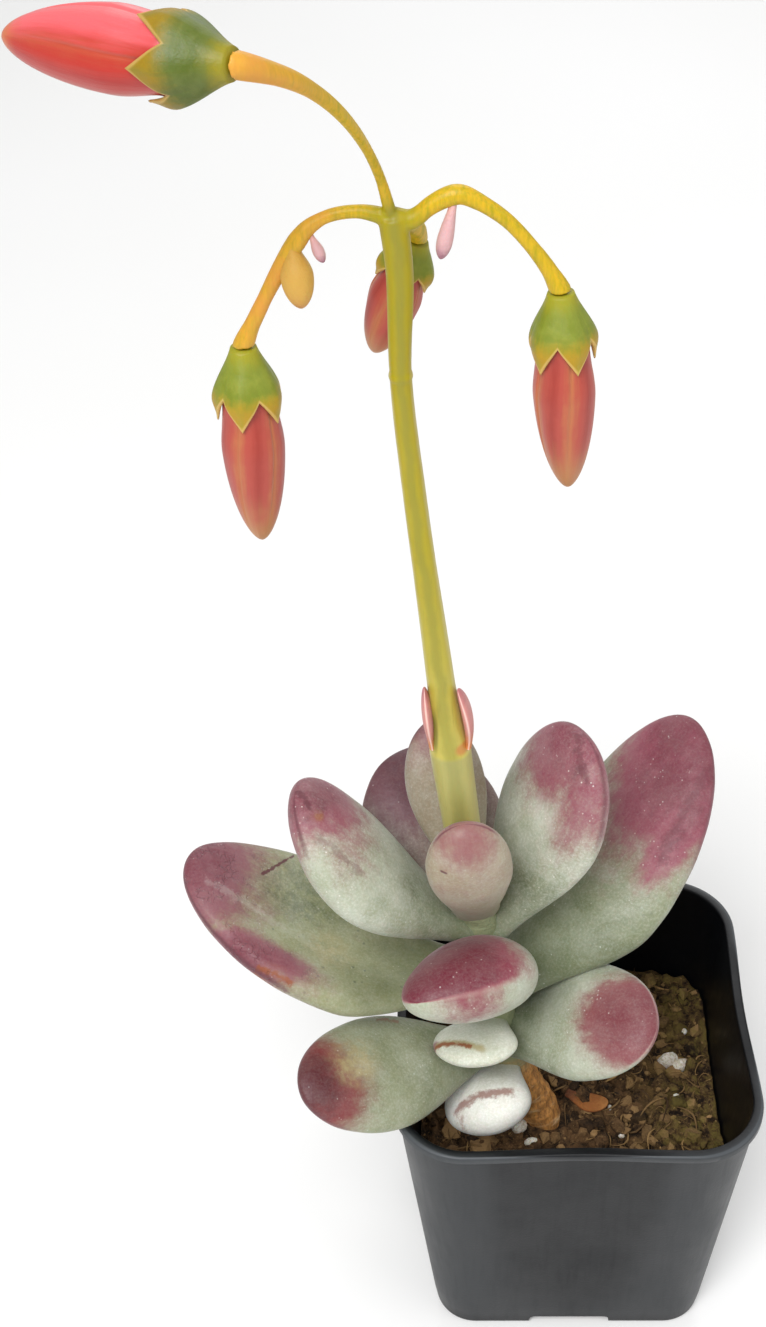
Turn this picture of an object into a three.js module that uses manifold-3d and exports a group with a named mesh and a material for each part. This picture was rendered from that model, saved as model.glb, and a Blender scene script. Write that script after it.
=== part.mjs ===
// Pig's ear succulent (Cotyledon orbiculata) in a square nursery pot.
// Millimetres, +Z up, origin at the middle of the pot's underside, the pot's front faces -Y.
import * as THREE from 'three';
import { mergeVertices } from 'three/addons/utils/BufferGeometryUtils.js';
import Module from 'manifold-3d';

const wasm = await Module();
wasm.setup();

// Pot: a 63 mm square nursery pot, from which its other sizes follow.
const POT_WIDTH = 63;
const POT_HEIGHT = 0.975 * POT_WIDTH;
const POT_FOOT_WIDTH = 0.792 * POT_WIDTH;
const POT_RIM_CORNER = 0.193 * POT_WIDTH;
const POT_FOOT_CORNER = 0.115 * POT_WIDTH;
const POT_WALL = 1.2;
const POT_SIDE_BOW = 0.6;
const POT_SIDES = 40;
const POT_FOOT_BEVEL = { out: 0.6, up: 1 };
const LIP_OUT = 0.5;
const LIP_HEIGHT = 2;
const LIP_BEVEL = 0.3;
// Share of each side's turn that is straight; the rest goes round its two half corners.
const STRAIGHT_SHARE = 0.55;
const NOTCH_WIDTH = 15;
const NOTCH_HEIGHT = 2.5;
const NOTCH_DEPTH = 8;
// Radius of the notch's top corners, as a share of its height.
const NOTCH_ROUND = 0.6;
// Inside the pot a hump of the wall's thickness covers each notch.
const HUMP = { bottom: 0.5, setBack: 0.4 };
const DRAIN_RADIUS = 2.2;

const CLEARANCE = 0.3;
// How far a cutting tool runs past what it cuts.
const CUT_PAST = 5;
const SOIL_LEVEL = 40;
const SOIL_RINGS = 8;
// Round shoulder at the rim of the soil's top: how far in and how far down it starts.
const SOIL_SHOULDER = { inward: 0.4, down: 2 };
const STEM_ROOT_LEVEL = 26;
const STEM_TOP_LEVEL = 111;

// Main stem: it leans to the left as it rises.
const STEM_PATH = [
  [-2.5, -6.5, STEM_ROOT_LEVEL],
  [-5.3, -6.5, 40],
  [-11.2, -6.5, 56],
  [-14.4, -6.5, 76],
  [-16.2, -6.5, 90],
  [-18.6, -6.5, STEM_TOP_LEVEL],
];
const STEM_RADIUS_FOOT = 3.9;
const STEM_RADIUS_TOP = 3;

// Flower stalk, from inside the rosette to the fork of the flower head.
const STALK_PATH = [
  [-18.7, -6.5, STEM_TOP_LEVEL + CLEARANCE],
  [-20.7, -6.5, 131],
  [-22.4, -6.5, 150],
  [-24.8, -6.5, 176],
  [-26.2, -6.5, 195.5],
  [-25.9, -6.5, 210],
  [-26.5, -6.5, 217.6],
];
// Radius of the stalk at some heights: it is thickest at the bracts' sheath.
const STALK_RADII = [
  [111, 2.9],
  [131, 3.15],
  [137, 2.5],
  [143, 2.1],
  [165, 1.7],
  [196, 1.45],
  [207, 1.7],
  [218, 1.85],
];
const NODE_RING = { level: 195.5, radius: 1.65, height: 1.2 };

// Bracts: small boat-shaped blades that grow from the stalk's sides, described like the leaves;
// `inward` is the side that their upper face looks to.
const BRACTS = [
  {
    name: 'bract_left', start: [-23.3, -7, 131.8], tip: [-24.3, -8, 143.8], inward: [1, 0, 0],
    width: 4.4, thick: 1.6, curl: 4, belly: 0.5, neck: 0.6, point: 1.1,
  },
  {
    name: 'bract_right', start: [-17.9, -7, 131.8], tip: [-19.4, -8, 143.4], inward: [-1, 0, 0],
    width: 4.4, thick: 1.6, curl: 28, belly: 0.5, neck: 0.6, point: 1.1,
  },
];

// Flower buds: the pedicel's path from the fork to the calyx, its radii along it, the tip of the
// furled petals, the width of the calyx and how far its lobes are turned, in degrees.
const FORK = [-26.6, -6.5, 217.3];
const BUDS = [
  {
    name: 'upper_left',
    path: [
      [-27.9, -9.3, 224.3], [-30.2, -16.5, 232.9], [-33.2, -23.5, 239.6], [-36.5, -28.8, 243.9],
      [-41.2, -32.3, 246.7],
    ],
    tip: [-67.1, -19.1, 245.5], width: 10, turn: -7,
    radii: [0.85, 0.65, 0.62, 0.7, 0.8, 0.9, 1.15, 1.6],
  },
  {
    name: 'left',
    path: [
      [-30.4, -6.5, 218.3], [-34.1, -6.5, 217.9], [-36.7, -6.5, 216.5], [-38.5, -6.5, 214.4],
      [-40.6, -6.5, 211.1], [-43.6, -6.5, 205.6],
      [-46.2, -6.5, 200.1],
    ],
    tip: [-46.1, -6.5, 170], width: 9.2, turn: -45,
    radii: [1.2, 0.85, 0.82, 1.25, 1.1, 0.95, 1.05, 1.6],
  },
  {
    name: 'right',
    path: [
      [-24.3, -6.5, 217.1], [-21.8, -6.5, 218.9], [-19.9, -6.5, 219.9], [-18.3, -6.5, 220.2],
      [-16.1, -6.5, 219.2], [-12.7, -6.5, 216.7], [-9.6, -6.5, 213.1], [-7.3, -6.5, 209.7],
      [-5.9, -6.5, 206.8],
    ],
    tip: [-4.2, -6.5, 177.8], width: 8.9, turn: -6,
    radii: [1.5, 1.1, 1.3, 1, 0.9, 0.9, 1.05, 1.6],
  },
  {
    name: 'back',
    path: [[-25.6, -4.5, 216], [-24.6, -1.8, 214.2], [-23.8, 0.6, 212.4], [-23.9, 2.9, 209.8]],
    tip: [-30, 4.4, 192.8], width: 7.8, turn: 0, radii: [1.3, 1.3, 1.2, 1.2, 1.3, 1.6],
  },
];
// The calyx opens from the pedicel like a horn. Its heights are shares of the bud's length: where
// its flare would start, where it is widest, the floor of its cup, and the valleys and the tips of
// its five lobes, which stand out by `keel` along their middles.
const CALYX = {
  foot: 3, flare: -0.05, widest: 0.25, floor: 0.1, valley: 0.2, lobe: 0.335, wall: 0.7, edge: 0.4,
  keel: 0.25, outerRows: 5, innerRows: 2,
};
const LOBES = 5;
const PETALS = {
  start: 0.12, foot: 0.06, rise: 0.19, bulge: 0.7, full: [0.26, 0.5], taper: 0.4, point: 2.1,
  blunt: 0.62, seam: 0.07, twist: 0.5,
};

// Undeveloped buds on the pedicels: a thread where there is one, then a small pointed bud.
const BUDLETS = [
  {
    name: 'bud_small_left', from: [-39, -6.5, 214.4], tip: [-38.2, -8, 206.2],
    width: 4.2, belly: 0.5, neck: 0.35,
  },
  {
    name: 'bud_tiny_left', from: [-36.6, -6.5, 215.4], tip: [-35.1, -8.2, 212.5],
    width: 1.5, belly: 0.6, neck: 0.4,
  },
  {
    name: 'bud_tiny_right', from: [-18.9, -6.5, 220], tip: [-20.8, -8.4, 212.7],
    width: 2, belly: 0.72, neck: 0.4,
  },
];

// Dried leaf scrap on the soil.
const DRY_LEAF = {
  name: 'dry_leaf',
  start: [-0.4, -3.6, SOIL_LEVEL + 2.4], tip: [7.2, -6.6, SOIL_LEVEL + 2.9],
  width: 4.6, thick: 1.4, curl: 70, belly: 0.55, neck: 0.4,
};

// Leaves in crossing pairs, numbered from the lowest. A leaf is cut clear of those before it in this
// list, so the front ones, which keep their whole form, come first. Each grows from the stem at the
// height `from` and ends at `tip`; `roll` turns its face about its own length, `curl` bends it
// towards the upper face, `belly` is where it is widest and `neck` how wide its foot is, both as
// shares; `sway` moves its belly sideways, `hollow` dishes its upper face and `point` above 1
// sharpens its tip.
const LEAVES = [
  {
    name: 'leaf_7_front', from: 95.5, tip: [-19, -14, 121.6],
    width: 13.6, thick: 8, curl: 30, belly: 0.62, neck: 0.6,
  },
  {
    name: 'leaf_6_right', from: 88, tip: [0, 6, 122.8],
    width: 23.8, thick: 9.4, curl: 30, belly: 0.6, neck: 0.32,
  },
  {
    name: 'leaf_6_left', from: 90, tip: [-45.1, -4, 119.9],
    width: 21, thick: 10.5, curl: 29, belly: 0.62, neck: 0.3, sway: -2.9,
  },
  {
    name: 'leaf_7_back', from: 99, tip: [-23.4, 8, 123.5],
    width: 13.2, thick: 6.7, roll: 9, curl: 23, belly: 0.61, neck: 0.38,
  },
  {
    name: 'leaf_5_front', from: 82, tip: [-26.4, -28, 96.9],
    width: 20.4, thick: 13, roll: 17, belly: 0.45, neck: 0.6, sway: -3.8, point: 1.2,
  },
  {
    name: 'leaf_5_back', from: 87, tip: [-28.4, 20, 106.6],
    width: 24.5, thick: 7, roll: 4, curl: 12, belly: 0.6, neck: 0.3,
  },
  {
    name: 'leaf_4_right', from: 74, tip: [21.3, 26, 107.2],
    width: 29.8, thick: 10.5, curl: 30, belly: 0.43, neck: 0.33, sway: 1.3,
  },
  {
    name: 'leaf_4_left', from: 78, tip: [-65, 0, 99.8],
    width: 29, thick: 11.7, curl: 18, belly: 0.46, neck: 0.34, sway: -2.1, hollow: 0.45,
  },
  {
    name: 'leaf_3_front', from: 68, tip: [-19.7, -20, 72],
    width: 15, thick: 5.5, roll: 9, belly: 0.6, neck: 0.3,
  },
  {
    name: 'leaf_2_right', from: 64, tip: [12.4, -19, 80],
    width: 20.2, thick: 9, roll: 25, curl: 7, belly: 0.56, neck: 0.5, sway: -1.1,
  },
  {
    name: 'leaf_2_left', from: 60.7, tip: [-45.5, -30, 77.9],
    width: 19.4, thick: 8.2, roll: -38, curl: 17, belly: 0.6, neck: 0.28,
  },
  {
    name: 'leaf_1_front', from: 56, tip: [-18.2, -22, 56.9],
    width: 16.4, thick: 9, roll: 12, curl: 21, belly: 0.58, neck: 0.3,
  },
  {
    name: 'leaf_3_back', from: 68, tip: [-12, 17, 76],
    width: 15, thick: 8, curl: 15, belly: 0.6, neck: 0.36,
  },
  {
    name: 'leaf_1_back', from: 57, tip: [-9, 15, 62],
    width: 14, thick: 8, curl: 15, belly: 0.6, neck: 0.36,
  },
];

// How much sooner than its foot a blade reaches the width of its neck, and how thick its foot is at
// least, as a share of its thickness. Blades narrower than `small` have fewer faces.
const BLADE = { neckSooner: 1.2, footThick: 0.25, small: 5, rings: 10, smallRings: 6 };

// Colours as in the plant: [hex, roughness].
const FINISH = {
  pot: ['#26292c', 0.4],
  soil: ['#3b2a1d', 0.95],
  stem: ['#a9794c', 0.8],
  stalk: ['#b9bb5f', 0.5],
  leaf: ['#b9c6b4', 0.6],
  bract: ['#d98a8a', 0.5],
  calyx: ['#a8b45a', 0.5],
  petals: ['#e2675f', 0.4],
  budlet: ['#e8c66a', 0.5],
  dry: ['#8a4a22', 0.8],
};

const group = new THREE.Group();

// A closed geometry as a manifold solid.
function toSolid(geometry) {
  const bare = geometry.clone();
  bare.deleteAttribute('normal');
  bare.deleteAttribute('uv');
  const merged = mergeVertices(bare, 1e-4);
  return new wasm.Manifold(new wasm.Mesh({
    numProp: 3,
    vertProperties: new Float32Array(merged.attributes.position.array),
    triVerts: new Uint32Array(merged.index.array),
  }));
}

// A manifold solid as a geometry with flat normals.
function toGeometry(solid) {
  const mesh = solid.getMesh();
  const geometry = new THREE.BufferGeometry();
  geometry.setAttribute('position', new THREE.BufferAttribute(mesh.vertProperties, 3));
  geometry.setIndex(new THREE.BufferAttribute(mesh.triVerts, 1));
  geometry.computeVertexNormals();
  return geometry;
}

// Adds a named piece in one of the finishes.
function addMesh(name, geometry, finish, matrix = new THREE.Matrix4()) {
  const [color, roughness] = FINISH[finish];
  const material = new THREE.MeshStandardMaterial({ color, roughness, metalness: 0 });
  const mesh = new THREE.Mesh(geometry, material);
  mesh.name = name;
  matrix.decompose(mesh.position, mesh.quaternion, mesh.scale);
  group.add(mesh);
  return mesh;
}

// Moves every vertex of a geometry by a function of its old place.
function warp(geometry, place) {
  const position = geometry.attributes.position;
  const from = new THREE.Vector3();
  for (let i = 0; i < position.count; i += 1) {
    from.fromBufferAttribute(position, i);
    const to = place(from);
    position.setXYZ(i, to.x, to.y, to.z);
  }
  geometry.computeVertexNormals();
  return geometry;
}

// A smooth curve through points.
function curveThrough(points) {
  return new THREE.CatmullRomCurve3(points.map((p) => new THREE.Vector3(...p)), false, 'centripetal');
}

// The value of evenly spaced stations at a fraction of the way, by straight steps between them.
function along(values, fraction) {
  const at = THREE.MathUtils.clamp(fraction, 0, 1) * (values.length - 1);
  const i = Math.min(Math.floor(at), values.length - 2);
  return THREE.MathUtils.lerp(values[i], values[i + 1], at - i);
}

// The radius at a height, by straight steps between [height, radius] pairs.
function atLevel(pairs, height) {
  const i = THREE.MathUtils.clamp(pairs.findIndex(([level]) => level > height), 1, pairs.length - 1);
  const [low, from] = pairs[i - 1];
  const [high, to] = pairs[i];
  return THREE.MathUtils.lerp(from, to, THREE.MathUtils.clamp((height - low) / (high - low), 0, 1));
}

// A closed round rod along a curve, with a radius for each fraction of its length.
function rod(curve, radiusAt, sides, steps) {
  const frames = curve.computeFrenetFrames(steps, false);
  const geometry = new THREE.CylinderGeometry(1, 1, 1, sides, steps);
  return warp(geometry, (v) => {
    const fraction = v.y + 0.5;
    const i = Math.round(fraction * steps);
    const radius = radiusAt(fraction);
    return curve.getPointAt(fraction)
      .addScaledVector(frames.normals[i], v.z * radius)
      .addScaledVector(frames.binormals[i], v.x * radius);
  });
}

// Places a piece made along +Z so that it starts at one point and runs towards another.
function aimed(start, end) {
  const from = new THREE.Vector3(...start);
  const direction = new THREE.Vector3(...end).sub(from).normalize();
  const turn = new THREE.Quaternion().setFromUnitVectors(new THREE.Vector3(0, 0, 1), direction);
  return new THREE.Matrix4().compose(from, turn, new THREE.Vector3(1, 1, 1));
}

// Square with round corners, each side bowed in a little: the point at a turn of `angle`.
function squareOutline(angle, half, corner, bow) {
  const quarter = Math.PI / 2;
  const side = Math.round(angle / quarter);
  const local = angle - side * quarter;
  const flat = half - corner;
  const share = Math.abs(local) / (quarter / 2);
  let x = half;
  let y = flat * Math.min(1, share / STRAIGHT_SHARE);
  if (share < STRAIGHT_SHARE) {
    x -= bow * Math.cos((share / STRAIGHT_SHARE) * quarter) ** 2;
  } else {
    const arc = ((share - STRAIGHT_SHARE) / (1 - STRAIGHT_SHARE)) * (quarter / 2);
    x = flat + corner * Math.cos(arc);
    y = flat + corner * Math.sin(arc);
  }
  y *= Math.sign(local);
  const turn = side * quarter;
  return new THREE.Vector2(
    x * Math.cos(turn) - y * Math.sin(turn),
    x * Math.sin(turn) + y * Math.cos(turn),
  );
}

// Turns a lathe profile of [half width, height] into a square loft; `inset` is how far its
// corners lie inside those of the pot's outside.
function squareLoft(profile, inset) {
  const points = profile.map(([half, height]) => new THREE.Vector2(half, height));
  const geometry = new THREE.LatheGeometry(points, POT_SIDES);
  geometry.rotateX(Math.PI / 2);
  return warp(geometry, (v) => {
    const half = Math.hypot(v.x, v.y);
    const share = THREE.MathUtils.clamp(v.z / POT_HEIGHT, 0, 1);
    const full = potHalfWidth(v.z) - inset;
    const corner = THREE.MathUtils.lerp(POT_FOOT_CORNER, POT_RIM_CORNER, share) - inset;
    const spread = Math.min(1, half / full);
    const bow = POT_SIDE_BOW * share * spread;
    const flat = squareOutline(Math.atan2(v.y, v.x), half, corner * spread, bow);
    return new THREE.Vector3(flat.x, flat.y, v.z);
  });
}

// Half the pot's outside width at a height, without its lip.
function potHalfWidth(height) {
  const share = THREE.MathUtils.clamp(height / POT_HEIGHT, 0, 1);
  return THREE.MathUtils.lerp(POT_FOOT_WIDTH, POT_WIDTH - 2 * LIP_OUT, share) / 2;
}

// A bar with a round-cornered end face, across the middle of one bottom side of the pot.
function notchBar(turn, width, height, reach, bottom) {
  const shape = new THREE.Shape();
  const round = height * NOTCH_ROUND;
  shape.moveTo(-width / 2, bottom);
  shape.lineTo(width / 2, bottom);
  shape.lineTo(width / 2, height - round);
  shape.absarc(width / 2 - round, height - round, round, 0, Math.PI / 2, false);
  shape.absarc(-width / 2 + round, height - round, round, Math.PI / 2, Math.PI, false);
  shape.closePath();
  const settings = { depth: reach, bevelEnabled: false, curveSegments: 3 };
  const geometry = new THREE.ExtrudeGeometry(shape, settings);
  geometry.rotateX(Math.PI / 2);
  geometry.translate(0, -(POT_FOOT_WIDTH / 2 - NOTCH_DEPTH), 0);
  geometry.rotateZ(turn);
  return toSolid(geometry);
}

// The turns of the four sides that have a notch.
function notchTurns() {
  return [0, 1, 2, 3].map((i) => (i * Math.PI) / 2);
}

// The tool for the drain hole in the roof of a notch.
function drainHole(turn) {
  const length = 2 * (NOTCH_HEIGHT + CUT_PAST);
  const geometry = new THREE.CylinderGeometry(DRAIN_RADIUS, DRAIN_RADIUS, length, 12);
  geometry.rotateX(Math.PI / 2);
  geometry.translate(0, -(POT_FOOT_WIDTH / 2 - NOTCH_DEPTH / 2 - POT_WALL / 2), 0);
  geometry.rotateZ(turn);
  return toSolid(geometry);
}

// The pot's inside, from its floor to above its rim.
function potInside() {
  const mouth = potHalfWidth(POT_HEIGHT) - POT_WALL;
  return squareLoft([
    [0, POT_WALL],
    [potHalfWidth(POT_WALL) - POT_WALL, POT_WALL],
    [mouth, POT_HEIGHT],
    [mouth, POT_HEIGHT + CUT_PAST],
    [0, POT_HEIGHT + CUT_PAST],
  ], POT_WALL);
}

// The pot's outside as a solid block: bevelled foot, tapered sides and the lip.
function potOutside() {
  const lipFoot = POT_HEIGHT - LIP_HEIGHT;
  return squareLoft([
    [0, 0],
    [potHalfWidth(0) - POT_FOOT_BEVEL.out, 0],
    [potHalfWidth(POT_FOOT_BEVEL.up), POT_FOOT_BEVEL.up],
    [potHalfWidth(lipFoot), lipFoot],
    [potHalfWidth(lipFoot) + LIP_OUT, lipFoot + LIP_BEVEL],
    [POT_WIDTH / 2, POT_HEIGHT - LIP_BEVEL],
    [POT_WIDTH / 2 - LIP_BEVEL, POT_HEIGHT],
    [0, POT_HEIGHT],
  ], 0);
}

// The open shell with its four notches, their humps and their drain holes.
function potSolid() {
  const outside = toSolid(potOutside());
  const humpWidth = NOTCH_WIDTH + 2 * POT_WALL;
  const humpHeight = NOTCH_HEIGHT + POT_WALL;
  let solid = outside.subtract(toSolid(potInside()));
  for (const turn of notchTurns()) {
    const hump = notchBar(turn, humpWidth, humpHeight, NOTCH_DEPTH - HUMP.setBack, HUMP.bottom);
    const room = notchBar(turn, NOTCH_WIDTH, NOTCH_HEIGHT, NOTCH_DEPTH + CUT_PAST, -CUT_PAST);
    solid = solid.add(hump.intersect(outside));
    solid = solid.subtract(room.subtract(innerEnd(turn)));
    solid = solid.subtract(drainHole(turn));
  }
  return solid;
}

// Keeps a wall at the inner end of a notch, so that the notch opens only outwards and down.
function innerEnd(turn) {
  const geometry = new THREE.BoxGeometry(2 * NOTCH_WIDTH, POT_WALL, 2 * (NOTCH_HEIGHT + CUT_PAST));
  geometry.translate(0, -(POT_FOOT_WIDTH / 2 - NOTCH_DEPTH + POT_WALL / 2), 0);
  geometry.rotateZ(turn);
  return toSolid(geometry);
}

// Uneven top of the soil: how far it lies above or below its level, as one broad swell and one
// of crumbs.
function soilRelief(x, y) {
  const broad = Math.sin(0.21 * x + 0.6) * Math.cos(0.19 * y - 0.4);
  const crumbs = Math.sin(1.1 * x + 0.9 * y) * Math.cos(0.8 * x - 1.2 * y + 1);
  return 0.7 * broad + 0.55 * crumbs;
}

// The soil fills the pot up to its level, with its top roughened, and leaves room for the stem and
// for the humps on the pot's floor.
function soilSolid(stemHole) {
  const inset = POT_WALL + CLEARANCE;
  const bottom = inset;
  const shoulder = SOIL_LEVEL - SOIL_SHOULDER.down;
  const edge = potHalfWidth(SOIL_LEVEL) - inset - SOIL_SHOULDER.inward;
  const profile = [
    [0, bottom],
    [potHalfWidth(bottom) - inset, bottom],
    [potHalfWidth(shoulder) - inset, shoulder],
  ];
  for (let i = 0; i <= SOIL_RINGS; i += 1) {
    profile.push([edge * (1 - i / SOIL_RINGS), SOIL_LEVEL]);
  }
  const block = warp(squareLoft(profile, inset), (v) => {
    const lift = v.z > shoulder + 1 ? soilRelief(v.x, v.y) : 0;
    return new THREE.Vector3(v.x, v.y, v.z + lift);
  });
  let solid = toSolid(block).subtract(stemHole);
  const width = NOTCH_WIDTH + 2 * inset;
  const height = NOTCH_HEIGHT + inset;
  for (const turn of notchTurns()) {
    solid = solid.subtract(notchBar(turn, width, height, NOTCH_DEPTH + CUT_PAST, -CUT_PAST));
  }
  return solid;
}

const stemCurve = curveThrough(STEM_PATH);
const stalkCurve = curveThrough(STALK_PATH);

// The point of a rising curve at a given height, and its direction there.
function atHeight(curve, height) {
  let low = 0;
  let high = 1;
  for (let i = 0; i < 24; i += 1) {
    const middle = (low + high) / 2;
    if (curve.getPointAt(middle).z < height) {
      low = middle;
    } else {
      high = middle;
    }
  }
  return { point: curve.getPointAt(low), direction: curve.getTangentAt(low) };
}

// The tapered stem, swelled by `grow`.
function stemGeometry(grow) {
  const { lerp } = THREE.MathUtils;
  const radiusAt = (fraction) => lerp(STEM_RADIUS_FOOT, STEM_RADIUS_TOP, fraction) + grow;
  return rod(stemCurve, radiusAt, 12, 16);
}

// One leaf along +Y with its upper face to +Z: a fleshy blade, widest past its middle, on a
// narrow neck. `grow` swells it all round, for the clearance round a neighbour.
function leafGeometry(spec, length, grow) {
  const { width, thick, belly, neck, curl = 0, hollow = 0, sway = 0, point = 1 } = spec;
  const rings = width > BLADE.small ? BLADE.rings : BLADE.smallRings;
  const bend = THREE.MathUtils.degToRad(curl);
  const geometry = new THREE.SphereGeometry(1, rings + 4, rings);
  return warp(geometry, (v) => {
    const polar = Math.acos(THREE.MathUtils.clamp(v.y, -1, 1));
    const around = Math.atan2(v.z, v.x);
    const tipward = polar < Math.PI / 2;
    const fall = Math.min(1, (polar / (Math.PI / 2) - 1) * BLADE.neckSooner);
    const atBase = polar > Math.PI - 1e-3;
    const fraction = tipward ? belly + (1 - belly) * Math.cos(polar) : belly * (1 - fall);
    const taper = neck + (1 - neck) * (0.5 + 0.5 * Math.cos(Math.PI * fall));
    const spread = tipward ? Math.sin(polar) ** point : taper;
    const share = atBase || polar < 1e-3 ? 0 : spread;
    const swing = sway * 4 * fraction * (1 - fraction);
    const across = swing + share * (width / 2 + grow) * Math.cos(around);
    const fullness = tipward ? spread : THREE.MathUtils.lerp(BLADE.footThick, 1, spread);
    const half = (thick / 2) * fullness + grow * Math.min(1, spread * 2);
    const dip = hollow * Math.sin(Math.PI * fraction) * (1 - Math.cos(around) ** 2);
    const lift = (share > 0 ? half : 0) * Math.sin(around);
    const height = lift > 0 ? lift * (1 - 2 * dip) : lift;
    return bentPlace(across, fraction * (length + grow * 2) - grow, height, length, bend);
  });
}

// A place in a blade whose spine is an arc from the origin to [0, length, 0], bent by `bend`.
function bentPlace(across, distance, height, length, bend) {
  if (Math.abs(bend) < 1e-3) {
    return new THREE.Vector3(across, distance, height);
  }
  const radius = length / (2 * Math.sin(bend / 2));
  const angle = (distance / length - 0.5) * bend;
  const reach = radius - height;
  return new THREE.Vector3(
    across,
    length / 2 + reach * Math.sin(angle),
    radius * Math.cos(bend / 2) - reach * Math.cos(angle),
  );
}

// Where a leaf lies: from the stem's axis to its tip, its upper face towards the stem's top.
function leafMatrix(start, direction, spec) {
  const toTip = new THREE.Vector3(...spec.tip).sub(start);
  const forward = toTip.clone().normalize();
  const upper = direction.clone().addScaledVector(forward, -direction.dot(forward)).normalize();
  upper.applyAxisAngle(forward, THREE.MathUtils.degToRad(spec.roll ?? 0));
  const side = new THREE.Vector3().crossVectors(forward, upper);
  const matrix = new THREE.Matrix4().makeBasis(side, forward, upper).setPosition(start);
  return { matrix, length: toTip.length() };
}

// Adds the leaves one by one, each cut clear of the stem and of those already there.
function addLeaves(cutters) {
  for (const spec of LEAVES) {
    const { point, direction } = atHeight(stemCurve, spec.from);
    cutters.push(addBlade(spec, point, direction, 'leaf', cutters));
  }
}

// Radius of the furled petals at a share of the bud's length: held in by the calyx's cup, then
// fuller, then drawn to a blunt point.
function petalRadius(share, width) {
  const { foot, rise, bulge, full, taper, point, blunt } = PETALS;
  const { clamp, smoothstep } = THREE.MathUtils;
  const held = Math.sin((clamp((share - foot) / rise, 0, 1) * Math.PI) / 2);
  const fall = clamp((share - taper) / (1 - taper), 0, 1);
  const inCup = (width / 2 - CALYX.wall - CLEARANCE) * held;
  return (inCup + bulge * smoothstep(share, ...full)) * (1 - fall ** point) ** blunt;
}

// The furled petals along +Z, with a groove at each seam and a slight twist.
function petalsGeometry(length, width) {
  const geometry = new THREE.SphereGeometry(1, 20, 10);
  geometry.rotateX(Math.PI / 2);
  return warp(geometry, (v) => {
    const share = THREE.MathUtils.lerp(PETALS.start, 1, 0.5 + 0.5 * v.z);
    const pole = Math.abs(v.z) > 0.9999;
    const turn = Math.atan2(v.y, v.x);
    const around = turn + PETALS.twist * share;
    const seam = 1 - PETALS.seam * Math.sin((LOBES / 2) * turn) ** 2;
    const radius = pole ? 0 : petalRadius(share, width) * seam;
    return new THREE.Vector3(radius * Math.cos(around), radius * Math.sin(around), share * length);
  });
}

// Outer radius of the calyx at a share of the bud's length; `peak` runs from 0 in the valleys to 1
// along the middle of the lobes.
function calyxRadius(share, width, peak) {
  const { foot, flare, widest, valley, lobe, wall, edge, keel } = CALYX;
  const { lerp, smoothstep } = THREE.MathUtils;
  const thick = lerp(wall, edge, smoothstep(share, valley, lobe));
  const full = petalRadius(Math.max(share, widest), width) + CLEARANCE + thick;
  const fade = smoothstep(share, 0, widest) * (1 - smoothstep(share, widest, lobe));
  return lerp(foot / 2, full, smoothstep(share, flare, widest)) + keel * (2 * peak - 1) * fade;
}

// The calyx along +Z, from the end of the pedicel to the tips of its lobes. Its rows run up the
// outside, over the rim and down the inside to the floor of the cup.
function calyxGeometry(length, width) {
  const { floor, valley, lobe, outerRows, innerRows } = CALYX;
  const { lerp } = THREE.MathUtils;
  const rows = outerRows + 1 + innerRows;
  const geometry = new THREE.CylinderGeometry(1, 1, rows, 4 * LOBES, rows);
  geometry.rotateX(Math.PI / 2);
  geometry.translate(0, 0, rows / 2);
  return warp(geometry, (v) => {
    const around = Math.atan2(v.y, v.x);
    const turn = ((around / (2 * Math.PI)) * LOBES + 2 * LOBES) % 1;
    const peak = 1 - Math.abs(2 * turn - 1);
    const reach = lerp(valley, lobe, peak);
    const outside = v.z <= outerRows;
    const share = outside
      ? (reach * v.z) / outerRows
      : lerp(reach, floor, (v.z - outerRows - 1) / innerRows);
    const onAxis = Math.hypot(v.x, v.y) < 0.5;
    const wallRadius = outside ? calyxRadius(share, width, peak) : petalRadius(share, width) + CLEARANCE;
    const radius = onAxis ? 0 : wallRadius;
    return new THREE.Vector3(radius * Math.cos(around), radius * Math.sin(around), share * length);
  });
}

// Adds the calyx and the petals of one bud on the end of its pedicel.
function addBud({ name, path, tip, width, turn }) {
  const end = path[path.length - 1];
  const matrix = aimed(end, tip);
  matrix.multiply(new THREE.Matrix4().makeRotationZ(THREE.MathUtils.degToRad(turn)));
  const length = new THREE.Vector3(...end).distanceTo(new THREE.Vector3(...tip));
  addMesh(`calyx_${name}`, calyxGeometry(length, width), 'calyx', matrix);
  addMesh(`petals_${name}`, petalsGeometry(length, width), 'petals', matrix);
}

// The stalk with its node ring and the pedicels that grow from its fork, swelled by `grow`.
function stalkSolid(grow) {
  const { level, radius, height } = NODE_RING;
  const radiusAt = (fraction) => atLevel(STALK_RADII, stalkCurve.getPointAt(fraction).z) + grow;
  let solid = toSolid(rod(stalkCurve, radiusAt, 10, 24));
  const ring = new THREE.SphereGeometry(radius + grow, 10, 6);
  ring.rotateX(Math.PI / 2);
  ring.scale(1, 1, height / radius);
  const { x, y } = atHeight(stalkCurve, level).point;
  solid = solid.add(toSolid(ring.translate(x, y, level)));
  for (const bud of BUDS) {
    solid = solid.add(pedicelSolid(bud, grow));
  }
  return solid;
}

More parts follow.
